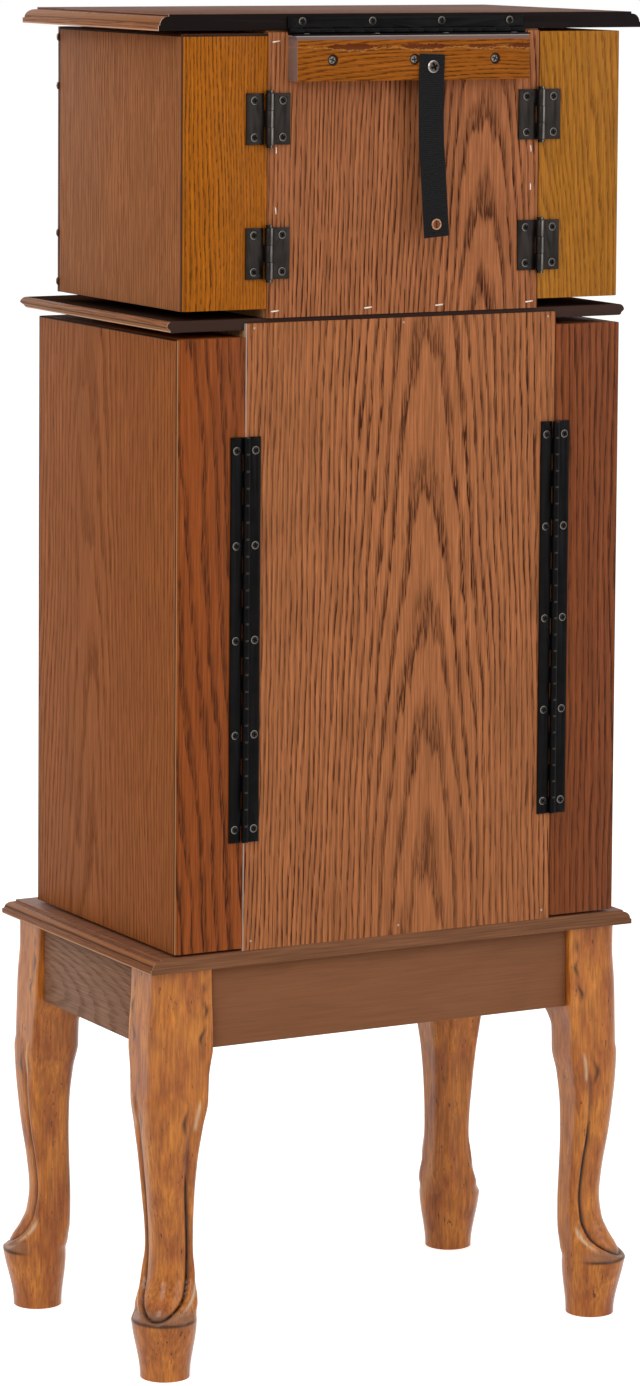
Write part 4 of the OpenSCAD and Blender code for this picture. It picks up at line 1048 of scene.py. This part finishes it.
# ---------------- lid
# A thick board with a moulded edge on three sides, stained like the rest; its straight rear edge
# is nearly black. A bevelled mirror sits in its underside, and a piano hinge carries it.
lid_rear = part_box("lid_board")[1].y
lid_oak = oak("lid_oak", "966043", "55301E", along="X", across="Y", pith=(20, 50), slope=0.04,
              ring=4.5, contrast=0.7, rough=0.45, gloss=0.06, seed=9,
              bands=[("Y", lid_rear - 0.3 * mm, lid_rear + mm, "140B0A")])
# Painted shade: a darker copy of the lid's oak for its top face.
shaded_lid_top_oak = oak("shaded_lid_top_oak", "6C4430", "3E2418", along="X", across="Y", pith=(20, 50),
                  slope=0.04, ring=4.5, contrast=0.6, gloss=0.03, seed=9)
# Painted light on the lid's end mouldings: a highlight on the lower edge, shade in the quirk, a
# glint on the round and shade near the top.
lid = edged("lid_board", "lid", lid_oak, "94603E", "54301E", 17, "D0AC9C", "140B0A",
            [(0, 1.0, "C89478"), (5.2, 6.0, "6A4028"), (6, 9.6, "8E5C36"), (10.6, 11.4, "4A2A1C")])
repaint(lid, shaded_lid_top_oak, lambda at, way: way.z > 0.9 and at.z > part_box("lid_board")[1].z - mm)
dressed("lid_hinge_leaf", "lid", black_steel, 0.15)
screws("lid_screws", "lid", screws_in("lid_hinge_screws", SCREW), screw_steel, SCREW, 14,
       ["lid_hinge_screws"])

# Silvered float glass: a clean mirror, with the faint cloudiness of old silvering.
silvered_glass = clouded("silvered_glass", "DDE2E1", "EEF2F1", 30.0, 4.0, (0.4, 0.8), (0.02, 0.06),
                         Metallic=1.0)
dressed("lid_mirror", "lid", silvered_glass, 1.2)

# ---------------- side doors
# Each side of both cases is one tall door: a shallow box with two stiles, rails and a veneered
# panel, hung on the back of the case. Brass hooks for necklaces stand on a bar inside. The upper
# doors' stiles are golden oak, the lower ones are stained red brown.

# Lacquered brass: warm yellow, polished, a little duller in patches.
brass = clouded("lacquered_brass", "B98A3C", "DDB564", 160.0, 4.0, (0.3, 0.7), (0.18, 0.34),
                Metallic=1.0)
DOOR_LINE = 0.8 * mm
STILE = 15 * mm
# A hook's wire radius, the radius of its bend, and where its straight shank stops short
HOOK_WIRE, HOOK_BEND, HOOK_SHORT = 1.1 * mm, 3 * mm, 4.1 * mm
# A stile's edge is the colour of a thin line down its corner at the panel: painted shade on three
# doors, a painted highlight on the lower right one.
STILES = {
    "upper_right": dict(light="AC600C", dark="4C2804", pith=(230, 30), slope=0.02, ring=2.4,
                        pore=(0.8, 6), contrast=0.95, seed=21, sway=(10, 8), edge="4A2C12"),
    "upper_left": dict(light="AC6E20", dark="64380E", pith=(-60, 20), slope=0.08, ring=3.4,
                       pore=(0.8, 8), seed=22, edge="8A6228"),
    "lower_right": dict(light="924A1E", dark="34160A", pith=(330, 10), slope=0.0, ring=11,
                        contrast=1.0, seed=23, sway=(14, 4), lean=-0.09, edge="AC7C4C"),
    "lower_left": dict(light="844624", dark="3A190B", pith=(-60, 30), slope=0.03, ring=5,
                       contrast=1.05, seed=24, sway=(10, 8), edge="5A3018")}
PANELS = {"upper": dict(light="A0653E", dark="5A3019", pith=(400, 40), slope=0.03, ring=2.6),
          "lower": dict(light="9A5A30", dark="5C2E16", pith=(-20, 60), slope=0.03, ring=3.6,
                        contrast=0.8)}
TOP_LINE = {"upper_door_right": 1.8}      # mm of a door's top painted dark, as painted shade under the board above it; 1 mm elsewhere
for tier in ("upper", "lower"):
    for side, sign in (("right", 1), ("left", -1)):
        door = f"{tier}_door_{side}"
        look = dict(STILES[f"{tier}_{side}"])
        edge = look.pop("edge")
        low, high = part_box(door + "_frame")
        panel_low, panel_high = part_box(door + "_side_panel")
        outer = panel_high.x if sign > 0 else panel_low.x
        line = sorted((outer - sign * DOOR_LINE, outer + sign * mm))
        # Painted shade: a dark line along the top of each door, under the board above it.
        shaded_top = ("Z", panel_high.z - TOP_LINE.get(door, 1.0) * mm, panel_high.z + mm, "241812")
        stile_oak = oak(f"{door}_oak", rough=0.45, gloss=0.1,
                        bands=[("X", *line, edge)] + [shaded_top] * (door in TOP_LINE), **look)
        rail_oak = oak(f"{door}_rail_oak", look["light"], look["dark"], along="Y", across="Z",
                       slope=0.03, ring=3, contrast=0.6, seed=30)
        door_frame = dressed(door + "_frame", door, stile_oak)
        repaint(door_frame, rail_oak, lambda at, way: low.y + STILE < at.y < high.y - STILE)
        panel_oak = oak(f"{door}_panel_oak", across="Y", gloss=0.03, seed=25 + sign,
                        bands=[shaded_top,
                               ("Y", panel_high.y - 1.4 * mm, panel_high.y + mm, "4E3630"),
                               ("Y", panel_low.y - mm, panel_low.y + 1.6 * mm, "3A2822")],
                        **PANELS[tier])
        panel = dressed(door + "_side_panel", door, panel_oak, 0.6)
        repaint(panel, flock_lining, lambda at, way: way.x * sign < -0.9)
        repaint(panel, stile_oak, lambda at, way: way.y > 0.9)
        found = boxes(door + "_hooks")
        hook_low, hook_high = found[0]
        reach = hook_high.x - hook_low.x
        root = hook_high.x if sign > 0 else hook_low.x
        hooks = [((root, (a.y + b.y) / 2, a.z + HOOK_WIRE), (-sign, 0, 0),
                  pi if sign > 0 else 0.0) for a, b in found]
        shank, bend, wire_r = (1 - HOOK_SHORT / reach, HOOK_BEND / reach, HOOK_WIRE / reach)
        path = ([(0, 0), (0, 0.03), (0, 0.4)]
                + [(-(1 - cos(radians(a))) * bend,
                    shank + sin(radians(a)) * bend) for a in range(0, 91, 15)]
                + [(-2 * bend, shank + bend)])
        hook_shape = swept("necklace_hook", path, [1.7 * wire_r] * 2 + [wire_r] * 8
                           + [0.6 * wire_r])
        strewn(door + "_brass_hooks", door, hooks, hook_shape, brass, (reach,) * 3,
               [door + "_hooks"])
        leaf_node = door + "_hinge_leaf"
        door_leaf = dressed(leaf_node, door, steel if tier == "upper" else black_steel,
                            0.15, keep=is_leaf)
        repaint(door_leaf, barrel_highlight_steel, is_crest)
        screws(door + "_screws", door, screws_in(leaf_node, SCREW), screw_steel, SCREW, 40 + sign,
               [leaf_node])

# A split turning is glued to the front corner of each upper door.
turned_oak = oak("turned_oak", "5E361E", "341A0C", pith=(150, 20), slope=0.02,
                 ring=2.5, contrast=0.6, rough=0.42, gloss=0.2, seed=27)
for side in ("right", "left"):
    door = "upper_door_" + side
    dressed(door + "_column", door, turned_oak, 0, crease=50)

# ---------------- drawers
# Five drawers: a box with a flock-lined bottom, a bevelled oak front across the grain of the case,
# and two turned brass knobs on small roses.
drawer_wood = oak("drawer_wood", "C49A66", "96703F", along="Y", across="Z", pith=(0, 70),
                  slope=0.03, ring=6, contrast=0.35, seed=31)
LINED = 6.4 * mm      # how far in from a side the lining starts
knob_shape = lathe("turned_knob", [(0, 0), (0.7, 0), (0.7, 0.14), (0.62, 0.2), (0.42, 0.36),
                                   (0.38, 0.6), (0.42, 0.9), (0.62, 1.0), (0.86, 1.06),
                                   (0.97, 1.18), (1.0, 1.32), (0.96, 1.48), (0.84, 1.64),
                                   (0.62, 1.78), (0.34, 1.87), (0, 1.9)], 36)
KNOB_RADIUS = 8 * mm
FORWARD = (0, -1, 0)
for number in range(1, 6):
    drawer = f"drawer_{number}"
    low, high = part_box(drawer + "_box")
    box = dressed(drawer + "_box", drawer, drawer_wood)
    repaint(box, flock_lining, lambda at, way: abs(at.x) < high.x - LINED
            and low.y + LINED < at.y < high.y - LINED
            and low.z + 2.5 * mm < at.z < high.z - 0.7 * mm)
    low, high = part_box(drawer + "_front")
    front_oak = oak(f"{drawer}_front_oak", "A3683A", "5A3018", along="X", across="Z",
                    pith=(1000 * (low.z + high.z) / 2 + 14 * (-1) ** number, 24), slope=0.09,
                    ring=3.4, contrast=0.8, rough=0.42, gloss=0.35, seed=32 + number)
    dressed(drawer + "_front", drawer, front_oak)
    strewn(drawer + "_brass_knobs", drawer,
           [(((a.x + b.x) / 2, b.y, (a.z + b.z) / 2), FORWARD, 0.0)
            for a, b in boxes(drawer + "_knobs")],
           knob_shape, brass, (KNOB_RADIUS,) * 3, [drawer + "_knobs"])

# ---------------- stage and light
# A white floor and surroundings, with large soft lamps behind the armoire on both sides, above it
# and in front. They show white in the view and in reflections, and give less light than that.
FLOOR_HALF = 30.0
floor_mesh = bpy.data.meshes.new("floor")
floor_mesh.from_pydata([(-FLOOR_HALF, -FLOOR_HALF, 0), (FLOOR_HALF, -FLOOR_HALF, 0),
                        (FLOOR_HALF, FLOOR_HALF, 0), (-FLOOR_HALF, FLOOR_HALF, 0)], [],
                       [(0, 1, 2, 3)])
floor = placed("floor", floor_mesh)


def seen(tree):
    """1 for what is seen, straight or in a reflection or through glass, and 0 for light."""
    paths = node(tree, "LightPath", out=None).outputs
    either = node(tree, "Math.MAXIMUM", paths["Is Camera Ray"], paths["Is Glossy Ray"])
    return node(tree, "Math.MAXIMUM", either, paths["Is Transmission Ray"])


FLOOR_GLOW, DIM_SKY = 0.62, 0.45      # the floor's light in the view, and the sky's on the object
floor_paint = finish("matte_floor", Roughness=0.9, Base_Color=colour("F4F3F1"),
                     Emission_Color=(1, 1, 1, 1))[0]
tree = floor_paint.node_tree
glow = node(tree, "Math.MULTIPLY", seen(tree), FLOOR_GLOW)
tree.links.new(glow, socket(floor_paint, "Emission Strength"))
floor_mesh.materials.append(floor_paint)

world = bpy.data.worlds.new("studio")
bpy.context.scene.world = world
world.use_nodes = True
sky = world.node_tree.nodes["Background"]
strength = node(world.node_tree, "MapRange", seen(world.node_tree), None, None, DIM_SKY, 1.0)
sky.inputs["Color"].default_value = (1, 1, 1, 1)
world.node_tree.links.new(strength, sky.inputs["Strength"])

LAMP_AIM = Vector((0, 0, 0.5))
for lamp_name, at, size, power in (("key", (3.2, 2.6, 2.6), 1.8, 52),
                                   ("fill", (-2.6, 3.2, 1.6), 2.4, 34),
                                   ("top", (0.4, 0.6, 3.4), 2.6, 22),
                                   ("front", (0.5, -3.4, 2.0), 2.6, 30)):
    lamp = placed(lamp_name, bpy.data.lights.new(lamp_name, "AREA"))
    lamp.data.size = size
    lamp.data.energy = power
    lamp.location = at
    lamp.rotation_euler = (LAMP_AIM - Vector(at)).to_track_quat("-Z", "Y").to_euler()

bpy.context.scene.view_settings.view_transform = "Standard"
